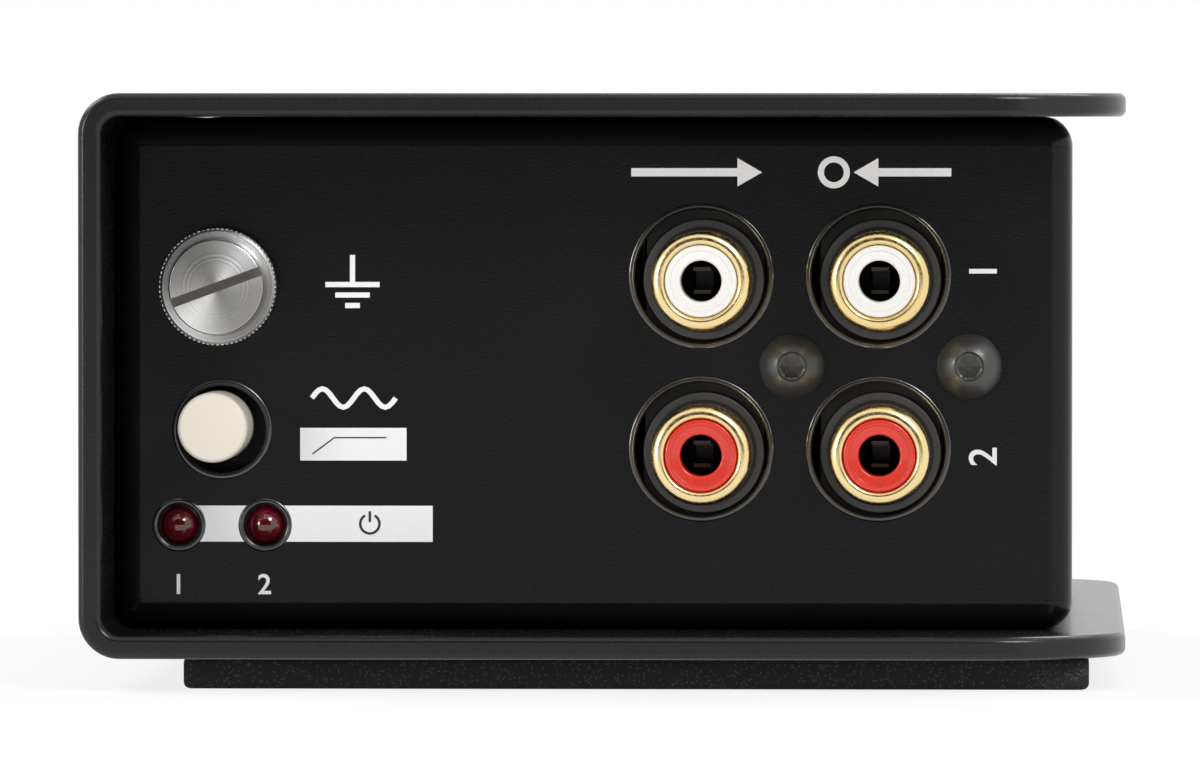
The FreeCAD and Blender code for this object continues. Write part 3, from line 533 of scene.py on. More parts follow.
# Painted highlight and shade: the dark first colour is nickel darkened as shade between the sectors, the
# bright second colour is a highlight painted in two sectors about the screw's axis
NICKEL_PAINTED_HIGHLIGHT = Finish("turned_nickel_painted_highlight", (0.38, 0.37, 0.36), (1.0, 0.99, 0.98), 0.33, 0.07, metallic=1.0,
                bump=0.22, bump_depth=0.011, anisotropy=0.6, sweep=True,
                rings_about=(GROUND_SCREW.middle(X), 0.0, GROUND_SCREW.middle(Z)))
BRIGHT_RIM = Finish("bright_nickel", (0.80, 0.80, 0.80), (0.88, 0.88, 0.88), 0.22, 0.1, metallic=1.0,
                    grain=5000.0, bump=0.8, bump_depth=0.03)
# Darker, duller, browner metal that the faces cut by the thumb screw's slot take
SLOT_METAL = Finish("slot_metal", (0.17, 0.15, 0.135), (0.24, 0.22, 0.20), 0.45, metallic=0.6, grain=3500.0,
                    bump=0.4)
GILT = Finish("gold_plate", (0.88, 0.66, 0.29), (0.95, 0.75, 0.39), 0.24, 0.06, metallic=1.0, bump=0.06,
              grain=2600.0)
WHITE_RING = Finish("white_insulator", (0.78, 0.76, 0.73), (0.82, 0.80, 0.77), 0.3, coat=0.3, bump=0.08)
RED_RING = Finish("red_insulator", (0.60, 0.024, 0.010), (0.66, 0.032, 0.014), 0.28, coat=0.4, bump=0.08)
# Painted shade: the tinned contacts deep in the jack bores are darkened to a brownish near black
CONTACT_PAINTED_SHADE = Finish("tinned_contact_painted_shade", (0.055, 0.048, 0.044), (0.085, 0.076, 0.070), 0.4, metallic=0.7)
# Painted shade: the housing's black is darkened to stand for the shade in the recess round its raised rim
JACK_MOULDING_PAINTED_SHADE = Finish("jack_moulding", (0.010, 0.010, 0.011), (0.015, 0.015, 0.016), 0.5, specular=0.3,
                    bump=0.2, grain=4000.0)
# Painted light: the housing's raised rim is the same black moulding, made a lighter grey as if lit
BOSS_PAINTED_LIGHT = Finish("boss_moulding_painted_light", (0.030, 0.029, 0.030), (0.042, 0.040, 0.041), 0.45, bump=0.3,
                   grain=4500.0)
IVORY = Finish("ivory_cap", (0.72, 0.665, 0.565), (0.76, 0.705, 0.605), 0.42, specular=0.4, bump=0.25,
               grain=5000.0)
NYLON = Finish("natural_nylon", (0.72, 0.71, 0.67), (0.78, 0.77, 0.73), 0.5)
BLACK_MOULDING = Finish("black_moulding", (0.016, 0.016, 0.017), (0.024, 0.024, 0.025), 0.45, bump=0.2,
                        grain=3500.0)
LAMP_RED = Finish("lamp_red", (0.060, 0.001, 0.004), (0.120, 0.002, 0.007), 0.10, 0.03, specular=0.5,
                  coat=1.0, cloud=900.0, bump=0.0, glow=0.04)
BOARD_GREEN = Finish("board_laminate", (0.008, 0.07, 0.028), (0.012, 0.1, 0.04), 0.35, cloud=300.0)
POT_CASE = Finish("pot_case", (0.5, 0.5, 0.5), (0.6, 0.6, 0.6), 0.35, metallic=1.0)
DIAL_BLACK = Finish("dial_moulding", (0.013, 0.013, 0.014), (0.02, 0.02, 0.021), 0.4, bump=0.25,
                    grain=3000.0)
CAN_SLEEVE = Finish("can_sleeve", (0.012, 0.02, 0.06), (0.02, 0.03, 0.09), 0.3, coat=0.3)
FILM_CASE = Finish("film_case", (0.42, 0.06, 0.02), (0.55, 0.09, 0.03), 0.3, coat=0.3)
CHIP_EPOXY = Finish("chip_epoxy", (0.014, 0.014, 0.014), (0.022, 0.022, 0.022), 0.6)
RESISTOR = Finish("resistor_body", (0.015, 0.015, 0.017), (0.03, 0.03, 0.034), 0.5)
WHITE_INK = Finish("white_ink", (0.86, 0.86, 0.87), (0.9, 0.9, 0.91), 0.5, specular=0.3, bump=0.1,
                   grain=4000.0)
BLACK_INK = Finish("black_ink", (0.012, 0.012, 0.013), (0.018, 0.018, 0.02), 0.5, bump=0.05)
FLAG_CLOTH = Finish("flag_cloth", (0.02, 0.02, 0.02), (0.03, 0.03, 0.03), 0.9, specular=0.1, grain=300.0)


class Slot(Enum):
    """Material slots of the part's record."""

    SHELL_COAT = "shell_coat"
    CHASSIS_COAT = "chassis_coat"
    PAD_FOAM = "pad_foam"
    BLACK_SCREW = "black_screw"
    ZINC_STEEL = "zinc_steel"
    JACK_MOULDING = "jack_moulding"
    BRIGHT_NICKEL = "bright_nickel"
    GILT = "gilt"
    WHITE_INSULATOR = "white_insulator"
    RED_INSULATOR = "red_insulator"
    SILVER_CONTACT = "silver_contact"
    IVORY_CAP = "ivory_cap"
    WHITE_MOULDING = "white_moulding"
    BLACK_MOULDING = "black_moulding"
    LAMP_RED = "lamp_red"
    BOARD_LAMINATE = "board_laminate"
    POT_CASE = "pot_case"
    KNOB_MOULDING = "knob_moulding"
    CAN_SLEEVE = "can_sleeve"
    FILM_CASE = "film_case"
    CHIP_EPOXY = "chip_epoxy"
    RESISTOR_LACQUER = "resistor_lacquer"


SLOT_FINISHES: Dict[Slot, Finish] = {
    Slot.SHELL_COAT: SHELL_COAT, Slot.CHASSIS_COAT: CHASSIS_COAT, Slot.PAD_FOAM: PAD_FOAM,
    Slot.BLACK_SCREW: BLACK_OXIDE, Slot.ZINC_STEEL: ZINC, Slot.JACK_MOULDING: JACK_MOULDING_PAINTED_SHADE,
    Slot.BRIGHT_NICKEL: NICKEL_PAINTED_HIGHLIGHT, Slot.GILT: GILT, Slot.WHITE_INSULATOR: WHITE_RING,
    Slot.RED_INSULATOR: RED_RING, Slot.SILVER_CONTACT: CONTACT_PAINTED_SHADE, Slot.IVORY_CAP: IVORY,
    Slot.WHITE_MOULDING: NYLON, Slot.BLACK_MOULDING: BLACK_MOULDING, Slot.LAMP_RED: LAMP_RED,
    Slot.BOARD_LAMINATE: BOARD_GREEN, Slot.POT_CASE: POT_CASE, Slot.KNOB_MOULDING: DIAL_BLACK,
    Slot.CAN_SLEEVE: CAN_SLEEVE, Slot.FILM_CASE: FILM_CASE, Slot.CHIP_EPOXY: CHIP_EPOXY,
    Slot.RESISTOR_LACQUER: RESISTOR,
}


class Paints:
    """Materials of the object, each made once."""

    def __init__(self) -> None:
        """Start with no material made."""
        self.made: Dict[str, bpy.types.Material] = {}

    def of(self, finish: Finish) -> bpy.types.Material:
        """Give the material of a finish.

        Args:
            finish: the finish.

        Returns:
            Its material.
        """
        if finish.name not in self.made:
            self.made[finish.name] = finish.build()
        return self.made[finish.name]


PAINTS = Paints()


# Meshes

# Millimetres from its axis below which a ring is a single point
ON_AXIS = 1e-6
# Millimetres below which points of a copied node are one point
MERGE_DISTANCE = 0.002
# Degrees below which neighbouring faces of a copied node are one flat face
FLAT_ANGLE = 0.6


def link(thing: bpy.types.Object) -> bpy.types.Object:
    """Put an object in the scene."""
    bpy.context.scene.collection.objects.link(thing)
    return thing


def finish_mesh(bm: bmesh.types.BMesh, name: str, finish: Finish, smooth: float = 35.0) -> bpy.types.Object:
    """Turn mesh data into an object at the origin.

    Args:
        bm: the mesh data, in metres and in place.
        name: name of the piece.
        finish: its finish.
        smooth: degrees between faces above which an edge stays sharp.

    Returns:
        The new object.
    """
    mesh = bpy.data.meshes.new(name)
    bm.to_mesh(mesh)
    bm.free()
    mesh.shade_smooth()
    mesh.set_sharp_from_angle(angle=math.radians(smooth))
    mesh.materials.append(PAINTS.of(finish))
    return link(bpy.data.objects.new(name, mesh))


def settle(piece: bpy.types.Object) -> bpy.types.Object:
    """Bake a piece's modifiers into a plain mesh.

    Args:
        piece: object with modifiers.

    Returns:
        The same object without them.
    """
    graph = bpy.context.evaluated_depsgraph_get()
    mesh = bpy.data.meshes.new_from_object(piece.evaluated_get(graph))
    piece.modifiers.clear()
    old = piece.data
    piece.data = mesh
    bpy.data.meshes.remove(old)
    mesh.name = piece.name
    return piece


def register(piece: bpy.types.Object, body: Body, slot: Slot, *nodes: str) -> bpy.types.Object:
    """Make a piece ride on its body and stand for its nodes.

    Args:
        piece: the piece.
        body: body that it rides on.
        slot: record slot that the piece belongs to; not used.
        nodes: CAD nodes that it replaces.

    Returns:
        The piece.
    """
    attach(piece, body.value)
    if nodes:
        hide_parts(*nodes)
    LOG.info("piece %s on %s, %d faces", piece.name, body.value, len(piece.data.polygons))
    return piece


@dataclass(frozen=True)
class Rounding:
    """Rounding of the edges of a copied node.

    Attributes:
        width: its width in millimetres.
        segments: steps of the rounding.
        limit: degrees between faces above which an edge is rounded.
    """

    width: float
    segments: int = 3
    limit: float = 28.0


def softened(node: str, name: str, body: Body, slot: Slot, rounding: Rounding) -> bpy.types.Object:
    """Copy a CAD node and round its edges.

    Args:
        node: CAD node that is copied and replaced.
        name: name of the new piece.
        body: body that it rides on.
        slot: record slot that gives its finish.
        rounding: rounding of its edges.

    Returns:
        The new piece.
    """
    bm = bmesh.new()
    bm.from_mesh(frame["nodes"][node].data)
    bmesh.ops.remove_doubles(bm, verts=bm.verts, dist=MERGE_DISTANCE * MM)
    bmesh.ops.dissolve_limit(bm, angle_limit=math.radians(FLAT_ANGLE), verts=bm.verts, edges=bm.edges)
    piece = finish_mesh(bm, name, SLOT_FINISHES[slot])
    bevel = piece.modifiers.new("edges", "BEVEL")
    bevel.width = rounding.width * MM
    bevel.segments = rounding.segments
    bevel.limit_method = "ANGLE"
    bevel.angle_limit = math.radians(rounding.limit)
    flat = piece.modifiers.new("normals", "WEIGHTED_NORMAL")
    flat.keep_sharp = True
    flat.weight = 100
    settle(piece)
    return register(piece, body, slot, node)


def corner_arc(before: Point3, corner: Point3, after: Point3, steps: int) -> List[Point2]:
    """Points of the arc that rounds one corner of a half section.

    Args:
        before: point before the corner.
        corner: radius, height and rounding of the corner.
        after: point after the corner.
        steps: straight steps in the arc.

    Returns:
        The points of the arc.
    """
    here, size = Vector(corner[:2]), corner[2]
    back = (Vector(before[:2]) - here).normalized()
    ahead = (Vector(after[:2]) - here).normalized()
    half = back.angle(ahead) / 2
    start = here + back * (size / math.tan(half))
    end = here + ahead * (size / math.tan(half))
    centre = here + (back + ahead).normalized() * (size / math.sin(half))
    first, final = start - centre, end - centre
    sweep = first.angle_signed(final)
    spots = [centre + Matrix.Rotation(-sweep * step / steps, 2) @ first for step in range(steps + 1)]
    return [(spot.x, spot.y) for spot in spots]


def rounded(corners: Sequence[Point3], steps: int = 6) -> List[Point2]:
    """Round the corners of a half section.

    Args:
        corners: radius, height and corner rounding of each point.
        steps: straight steps in each rounding.

    Returns:
        The points of the section.
    """
    points: List[Point2] = []
    last = len(corners) - 1
    for index, corner in enumerate(corners):
        if corner[2] <= 0 or index in (0, last):
            points.append(corner[:2])
        else:
            points += corner_arc(corners[index - 1], corner, corners[index + 1], steps)
    return points


def round_ring(radius: float, height: float) -> Ring:
    """Give a round ring, as a function from an angle to radius and height."""
    return lambda angle: (radius, height)


def add_loop(bm: bmesh.types.BMesh, ring: Ring, place: Matrix, sides: int) -> List[bmesh.types.BMVert]:
    """Add the points of a ring, or its one point where it lies on the axis.

    Args:
        bm: mesh data to add to.
        ring: function from an angle to radius and height.
        place: matrix from the piece's own millimetres to the frame.
        sides: straight sides of the ring.

    Returns:
        The new points.
    """
    radius, height = ring(0.0)
    if radius < ON_AXIS:
        return [bm.verts.new(place @ Vector((0, 0, height)))]
    loop = []
    for side in range(sides):
        angle = 2 * math.pi * side / sides
        radius, height = ring(angle)
        spot = Vector((radius * math.cos(angle), radius * math.sin(angle), height))
        loop.append(bm.verts.new(place @ spot))
    return loop


def add_skin(bm: bmesh.types.BMesh, rings: Sequence[Ring], place: Matrix, sides: int) -> None:
    """Add the skin that joins rings about a piece's own Z.

    Args:
        bm: mesh data to add to.
        rings: the rings in order, from axis to axis or round a closed section.
        place: matrix from the piece's own millimetres to the frame.
        sides: straight sides of each ring.
    """
    loops = [add_loop(bm, ring, place, sides) for ring in rings]
    if len(loops[0]) > 1:
        loops.append(loops[0])
    for low, high in zip(loops, loops[1:]):
        for side in range(sides):
            after = (side + 1) % sides
            face = [low[side % len(low)], low[after % len(low)], high[after % len(high)],
                    high[side % len(high)]]
            corners = list(dict.fromkeys(face))
            if len(corners) > 2:
                bm.faces.new(corners)


def turned(points: Sequence[Point2], place: Matrix, name: str, finish: Finish, sides: int = 96,
           smooth: float = 35.0) -> bpy.types.Object:
    """Turn a half section about its own Z.

    Args:
        points: radius and height of each point in millimetres; open at the axis or closed on itself.
        place: matrix from the piece's own millimetres to the frame.
        name: name of the piece.
        finish: its finish.
        sides: straight sides of the turned form.
        smooth: degrees above which an edge stays sharp.

    Returns:
        The new object.
    """
    bm = bmesh.new()
    add_skin(bm, [round_ring(radius, height) for radius, height in points], place, sides)
    bmesh.ops.recalc_face_normals(bm, faces=bm.faces)
    return finish_mesh(bm, name, finish, smooth)


def prism(outline: Sequence[Point2], place: Matrix, low: float, high: float,
          bm: Optional[bmesh.types.BMesh] = None) -> bmesh.types.BMesh:
    """Raise a flat outline into a thin solid.

    Args:
        outline: points in millimetres, going round once.
        place: matrix from the outline's own millimetres to the frame.
        low: height of its underside.
        high: height of its top.
        bm: mesh data to add to, if any.

    Returns:
        The mesh data.
    """
    bm = bm or bmesh.new()
    floor = [bm.verts.new(place @ Vector((x, y, low))) for x, y in outline]
    roof = [bm.verts.new(place @ Vector((x, y, high))) for x, y in outline]
    faces = [bm.faces.new(roof), bm.faces.new(floor[::-1])]
    count = len(outline)
    for index in range(count):
        after = (index + 1) % count
        faces.append(bm.faces.new((floor[index], floor[after], roof[after], roof[index])))
    bmesh.ops.recalc_face_normals(bm, faces=faces)
    return bm


def cut_away(piece: bpy.types.Object, cutter: bpy.types.Object, smooth: float = 30.0) -> bpy.types.Object:
    """Cut one piece with another, which is then removed.

    Args:
        piece: piece that is cut.
        cutter: solid that is taken from it, whose finish the cut takes.
        smooth: degrees above which an edge stays sharp.

    Returns:
        The cut piece.
    """
    cut = piece.modifiers.new("cut", "BOOLEAN")
    cut.operation = "DIFFERENCE"
    cut.solver = "EXACT"
    cut.material_mode = "TRANSFER"
    cut.object = cutter
    settle(piece)
    bpy.data.objects.remove(cutter)
    piece.data.shade_smooth()
    piece.data.set_sharp_from_angle(angle=math.radians(smooth))
    return piece


# Geometry Nodes

RING_INPUTS = (("Count", "NodeSocketInt"), ("Radius", "NodeSocketFloat"), ("Size", "NodeSocketVector"),
               ("Height", "NodeSocketFloat"), ("Step", "NodeSocketFloat"), ("Start", "NodeSocketFloat"),
               ("Place", "NodeSocketVector"), ("Turn", "NodeSocketVector"))


@dataclass(frozen=True)
class BlockRing:
    """Blocks set in a ring by Geometry Nodes, such as knurls and scale marks.

    Attributes:
        name: name of the piece.
        finish: finish of the blocks.
        count: how many blocks there are.
        radius: radius of their middles in millimetres.
        size: size of a block outwards, along the ring and upwards, in millimetres.
        height: height of their middles in millimetres.
        arc: degrees that the ring covers.
        start: degrees from its own X to the first block.
    """

    name: str
    finish: Finish
    count: int
    radius: float
    size: Point3
    height: float
    arc: float = 360.0
    start: float = 0.0

    def blocks(self, graph: Graph, given: bpy.types.Node) -> bpy.types.NodeSocket:
        """Set the blocks round the ring's own Z.

        Args:
            graph: the tree's graph.
            given: its input node.

        Returns:
            The blocks as instances.
        """
        index = graph.add("GeometryNodeInputIndex")
        angle = graph.maths("MULTIPLY_ADD", index.outputs[0], given.outputs["Step"], given.outputs["Start"])
        spot = graph.add("ShaderNodeCombineXYZ")
        for axis, operation in ((X, "COSINE"), (Y, "SINE")):
            away = graph.maths("MULTIPLY", graph.maths(operation, angle), given.outputs["Radius"])
            graph.join(away, spot.inputs[axis])
        graph.join(given.outputs["Height"], spot.inputs[Z])
        points = graph.add("GeometryNodePoints")
        graph.join(given.outputs["Count"], points.inputs["Count"])
        graph.join(spot.outputs[0], points.inputs["Position"])
        block = graph.add("GeometryNodeMeshCube")
        graph.join(given.outputs["Size"], block.inputs["Size"])
        facing = graph.add("ShaderNodeCombineXYZ")
        graph.join(angle, facing.inputs[Z])
        spread = graph.add("GeometryNodeInstanceOnPoints")
        graph.join(points.outputs[0], spread.inputs["Points"])
        graph.join(block.outputs["Mesh"], spread.inputs["Instance"])
        graph.join(facing.outputs[0], spread.inputs["Rotation"])
        return spread.outputs[0]

    def tree(self) -> bpy.types.NodeTree:
        """Build the tree that sets the blocks round and moves them to their place.

        Returns:
            The node tree.
        """
        tree = bpy.data.node_groups.new(self.name + "_ring", "GeometryNodeTree")
        for label, kind in RING_INPUTS:
            tree.interface.new_socket(label, in_out="INPUT", socket_type=kind)
        tree.interface.new_socket("Geometry", in_out="OUTPUT", socket_type="NodeSocketGeometry")
        graph = Graph(tree)
        given = graph.add("NodeGroupInput")
        real = graph.add("GeometryNodeRealizeInstances")
        graph.join(self.blocks(graph, given), real.inputs[0])
        move = graph.add("GeometryNodeTransform")
        graph.join(real.outputs[0], move.inputs["Geometry"])
        graph.join(given.outputs["Place"], move.inputs["Translation"])
        graph.join(given.outputs["Turn"], move.inputs["Rotation"])
        coat = graph.add("GeometryNodeSetMaterial")
        coat.inputs["Material"].default_value = PAINTS.of(self.finish)
        graph.join(move.outputs[0], coat.inputs["Geometry"])
        graph.join(coat.outputs[0], graph.add("NodeGroupOutput").inputs["Geometry"])
        return tree

    def build(self, place: Matrix) -> bpy.types.Object:
        """Make the ring as a plain mesh.

        Args:
            place: matrix from the ring's own millimetres to the frame.

        Returns:
            The new object.
        """
        piece = link(bpy.data.objects.new(self.name, bpy.data.meshes.new(self.name)))
        nodes = piece.modifiers.new("ring", "NODES")
        nodes.node_group = self.tree()
        gaps = self.count if self.arc >= 360.0 else self.count - 1
        values = {"Count": self.count, "Radius": self.radius * MM, "Size": [v * MM for v in self.size],
                  "Height": self.height * MM, "Step": math.radians(self.arc) / gaps,
                  "Start": math.radians(self.start), "Place": list(place.translation),
                  "Turn": list(place.to_euler())}
        for item in nodes.node_group.interface.items_tree:
            if item.in_out == "INPUT":
                nodes[item.identifier] = values[item.name]
        piece.update_tag()
        return settle(piece)


# Sub-assemblies, with their sizes in millimetres and degrees

@dataclass
class Case:
    """Folded shell, its pad and the inner chassis."""

    shell_edge: Rounding = Rounding(0.16)
    chassis_edge: Rounding = Rounding(0.3, 4, 50.0)
    pad_edge: Rounding = Rounding(0.5)
    bend: float = 2.3
    corner_gap: float = 0.02
    corner_steps: Tuple[int, int] = (48, 24)

    def build(self) -> None:
        """Round the edges of the sheet parts."""
        softened("outer_shell", "case_shell", Body.ROOT, Slot.SHELL_COAT, self.shell_edge)
        softened("inner_chassis", "case_chassis", Body.ROOT, Slot.CHASSIS_COAT, self.chassis_edge)
        softened("no_slip_pad", "foam_pad", Body.ROOT, Slot.PAD_FOAM, self.pad_edge)
        self.add_corners()

    def add_corners(self) -> None:
        """Fill the corners of the inner chassis, where three bends meet."""
        bm = bmesh.new()
        sides = [(CHASSIS.low[axis] + self.bend, CHASSIS.high[axis] - self.bend) for axis in (X, Y, Z)]
        radius = (self.bend - self.corner_gap) * MM
        around, upwards = self.corner_steps
        for spot in itertools.product(*sides):
            place = Matrix.Translation(Vector(spot) * MM)
            bmesh.ops.create_uvsphere(bm, u_segments=around, v_segments=upwards, radius=radius,
                                      matrix=place)
        piece = finish_mesh(bm, "chassis_corners", CHASSIS_COAT)
        register(piece, Body.ROOT, Slot.CHASSIS_COAT)


@dataclass
class HoleRims:
    """Rounded, thickly coated rims of the holes in the front panel."""

    jack_columns: Point2 = (7.67, 22.0)
    jack_rows: Point2 = (33.2, 19.2)
    jack_hole: float = 5.4
    cap_spot: Point2 = (-31.2, 20.75)
    cap_hole: float = 3.55
    lamp_hole: float = 1.68
    width: float = 0.50
    overlap: float = 0.03
    rise: float = 0.13
    depth: float = 0.5
    steps: int = 12

    def build(self) -> None:
        """Turn a rim for each hole."""
        for index, (x, z, radius) in enumerate(self.holes()):
            place = Facing.FRONT.place(x, z)
            piece = turned(self.section(radius), place, f"hole_rim_{index + 1}", RIM_COAT, smooth=60.0)
            register(piece, Body.ROOT, Slot.CHASSIS_COAT)

    def holes(self) -> List[Point3]:
        """List the holes.

        Returns:
            X, Z and radius of each hole.
        """
        holes = [(x, z, self.jack_hole) for x in self.jack_columns for z in self.jack_rows]
        holes.append((*self.cap_spot, self.cap_hole))
        for node in PowerLamps.nodes:
            lamp = NodeBox.of(node)
            holes.append((lamp.middle(X), lamp.middle(Z), self.lamp_hole))
        return holes

    def section(self, radius: float) -> List[Point2]:
        """Half section of a rim, a bead that drops further on its inner side.

        Args:
            radius: radius of the hole.

        Returns:
            The points of the section.
        """
        inner, outer = radius - self.overlap, radius + self.width
        middle, half = (inner + outer) / 2, (outer - inner) / 2
        points = [(inner, -self.depth)]
        for step in range(self.steps + 1):
            angle = math.pi * (1 - step / self.steps)
            low = -self.width / 2 if step < self.steps / 2 else 0.0
            points.append((middle + half * math.cos(angle), low + (self.rise - low) * math.sin(angle)))
        points.append((outer, -self.depth))
        return points


@dataclass
class PhonoJack:
    """One phono jack: gilt sleeve, raised rim of its housing, and insulator."""

    name: str
    ring_slot: Slot
    bore: float = 2.97
    bore_round: float = 0.3
    root_radius: float = 3.85
    root_round: float = 0.1
    shoulder: float = 0.3
    shoulder_rounds: Point2 = (0.03, 0.08)
    lip_round: float = 0.72
    boss_radii: Point2 = (4.3, 4.88)
    boss_round: float = 0.12
    boss_top: float = -0.28
    boss_inner_foot: float = -0.6
    boss_foot: float = -1.0
    hole: float = 1.66
    hole_depth: float = 4.5
    hole_round: float = 0.22
    chamber: float = 2.1
    front_round: float = 0.2
    edge_width: float = 0.45
    edge_slope: float = 0.05
    edge_height: float = 0.1
    edge_round: float = 0.05

    def build(self) -> None:
        """Turn the sleeve, the rim and the insulator."""
        shield = NodeBox.of(self.name + "_shield")
        place = Facing.FRONT.place(shield.middle(X), shield.middle(Z))
        self.add_sleeve(place, shield)
        self.add_boss(place)
        self.add_insulator(place)

    def add_sleeve(self, place: Matrix, shield: NodeBox) -> None:
        """Turn the gilt sleeve with its rolled lip.

        Args:
            place: place of the jack.
            shield: box of the sleeve's CAD node.
        """
        radius, lip, seat = shield.half(X), shield.proud(), shield.sunk()
        root, shoulder = self.root_radius, self.shoulder
        inside, outside = self.shoulder_rounds
        section = rounded([(self.bore, -seat, 0), (root, -seat, self.root_round), (root, shoulder, inside),
                           (radius, shoulder, outside), (radius, lip, self.lip_round),
                           (self.bore, lip, self.bore_round), (self.bore, 0, 0)])
        piece = turned(section, place, self.name + "_sleeve", GILT)
        register(piece, Body.ROOT, Slot.GILT, self.name + "_shield")

    def add_boss(self, place: Matrix) -> None:
        """Turn the raised rim of the housing round the sleeve, in a lighter grey as painted light.

        Args:
            place: place of the jack.
        """
        low, high = self.boss_radii
        foot, top, size = self.boss_foot, self.boss_top, self.boss_round
        section = rounded([(low, foot, 0), (high, foot, 0), (high, top, size), (low, top, size)])
        section.append((low, self.boss_inner_foot))
        piece = turned(section, place, self.name + "_boss", BOSS_PAINTED_LIGHT)
        register(piece, Body.ROOT, Slot.JACK_MOULDING)

    def add_insulator(self, place: Matrix) -> None:
        """Turn the insulator, with a chamber behind its hole and a low edge.

        Args:
            place: place of the jack.
        """
        node = NodeBox.of(self.name + "_insulator")
        radius, front, seat = node.half(X), node.proud(), node.sunk()
        neck = front - self.hole_depth
        edge = radius - self.edge_width
        face = front - self.edge_height
        section = rounded([(self.chamber, neck, 0), (self.chamber, -seat, 0), (radius, -seat, 0),
                           (radius, front, self.front_round), (edge, front, self.edge_round),
                           (edge - self.edge_slope, face, self.edge_round),
                           (self.hole, face, self.hole_round), (self.hole, neck, 0)])
        piece = turned(section, place, self.name + "_ring", SLOT_FINISHES[self.ring_slot])
        register(piece, Body.ROOT, self.ring_slot, self.name + "_insulator")


@dataclass
class PhonoJacks:
    """Output pair and phono pair of jacks, each in its moulded housing."""

    pairs: Sequence[str] = ("output", "phono")
    edge: Rounding = Rounding(0.15, 2, 50.0)

    def build(self) -> None:
        """Soften the housings and turn the jacks."""
        for pair in self.pairs:
            softened(pair + "_jack_housing", pair + "_jack_block", Body.ROOT, Slot.JACK_MOULDING, self.edge)
        for pair in self.pairs:
            PhonoJack(pair + "_left", Slot.WHITE_INSULATOR).build()
            PhonoJack(pair + "_right", Slot.RED_INSULATOR).build()


@dataclass
class JackScrews:
    """Button head screws with hexagon sockets."""

    flats: float = 1.75
    depth: float = 0.9
    drill_point: float = 0.15
    shank: float = 1.45
    chamfer: float = 0.2
    edge: float = 0.25
    crown: float = 1.24
    crown_lip: Point2 = (0.05, 0.03)
    mouth: float = 1.08
    mouth_depth: float = 0.2
    socket_start: float = 0.26
    dome_steps: int = 12
    sides: int = 72

    def hexagon(self, height: float) -> Ring:
        """Give a six-sided ring of the socket.

        Args:
            height: its height.

        Returns:
            Function from an angle to radius and height.
        """
        step = math.radians(60)
        return lambda angle: (self.flats / 2 / math.cos((angle % step) - step / 2), height)

    def dome(self, head: float, height: float) -> List[Ring]:
        """Give the rings of the head's dome, part of a ball.

        Args:
            head: radius of the head.
            height: height of the head.

        Returns:
            The rings from the edge to the crown.
        """
        rise = height - self.edge
        sunk = (head ** 2 - self.crown ** 2 - rise ** 2) / (2 * rise)
        ball_squared = head ** 2 + sunk ** 2
        rings = []
        for step in range(1, self.dome_steps + 1):
            radius = head + (self.crown - head) * step / self.dome_steps
            rings.append(round_ring(radius, self.edge - sunk + math.sqrt(ball_squared - radius ** 2)))
        return rings

    def rings(self, node: NodeBox) -> List[Ring]:
        """Give the rings of a screw, from its tip to the bottom of its socket.

        Args:
            node: box of the screws' CAD node.

        Returns:
            The rings.
        """
        head, height, length = node.half(Z), node.proud(), node.sunk()
        drop_in, drop = self.crown_lip
        shaft = [(0.0, -length), (self.shank - self.chamfer, -length), (self.shank, self.chamfer - length),
                 (self.shank, 0.0), (head, 0.0), (head, self.edge)]
        mouth = [(self.crown - drop_in, height - drop), (self.mouth, height - self.mouth_depth)]
        rings = [round_ring(*point) for point in shaft] + self.dome(head, height)
        rings += [round_ring(*point) for point in mouth]
        rings += [self.hexagon(height - self.socket_start), self.hexagon(height - self.depth)]
        rings.append(round_ring(0.0, height - self.depth - self.drill_point))
        return rings

    def build(self) -> None:
        """Build both screws as one piece."""
        node = NodeBox.of("jack_screws")
        head = node.half(Z)
        bm = bmesh.new()
        for x in (node.low[X] + head, node.high[X] - head):
            place = Facing.FRONT.place(round(x, 3), node.middle(Z))
            add_skin(bm, self.rings(node), place, self.sides)
        bmesh.ops.recalc_face_normals(bm, faces=bm.faces)
        piece = finish_mesh(bm, "jack_button_screws", SLOT_FINISHES[Slot.BLACK_SCREW])
        register(piece, Body.ROOT, Slot.BLACK_SCREW, "jack_screws")


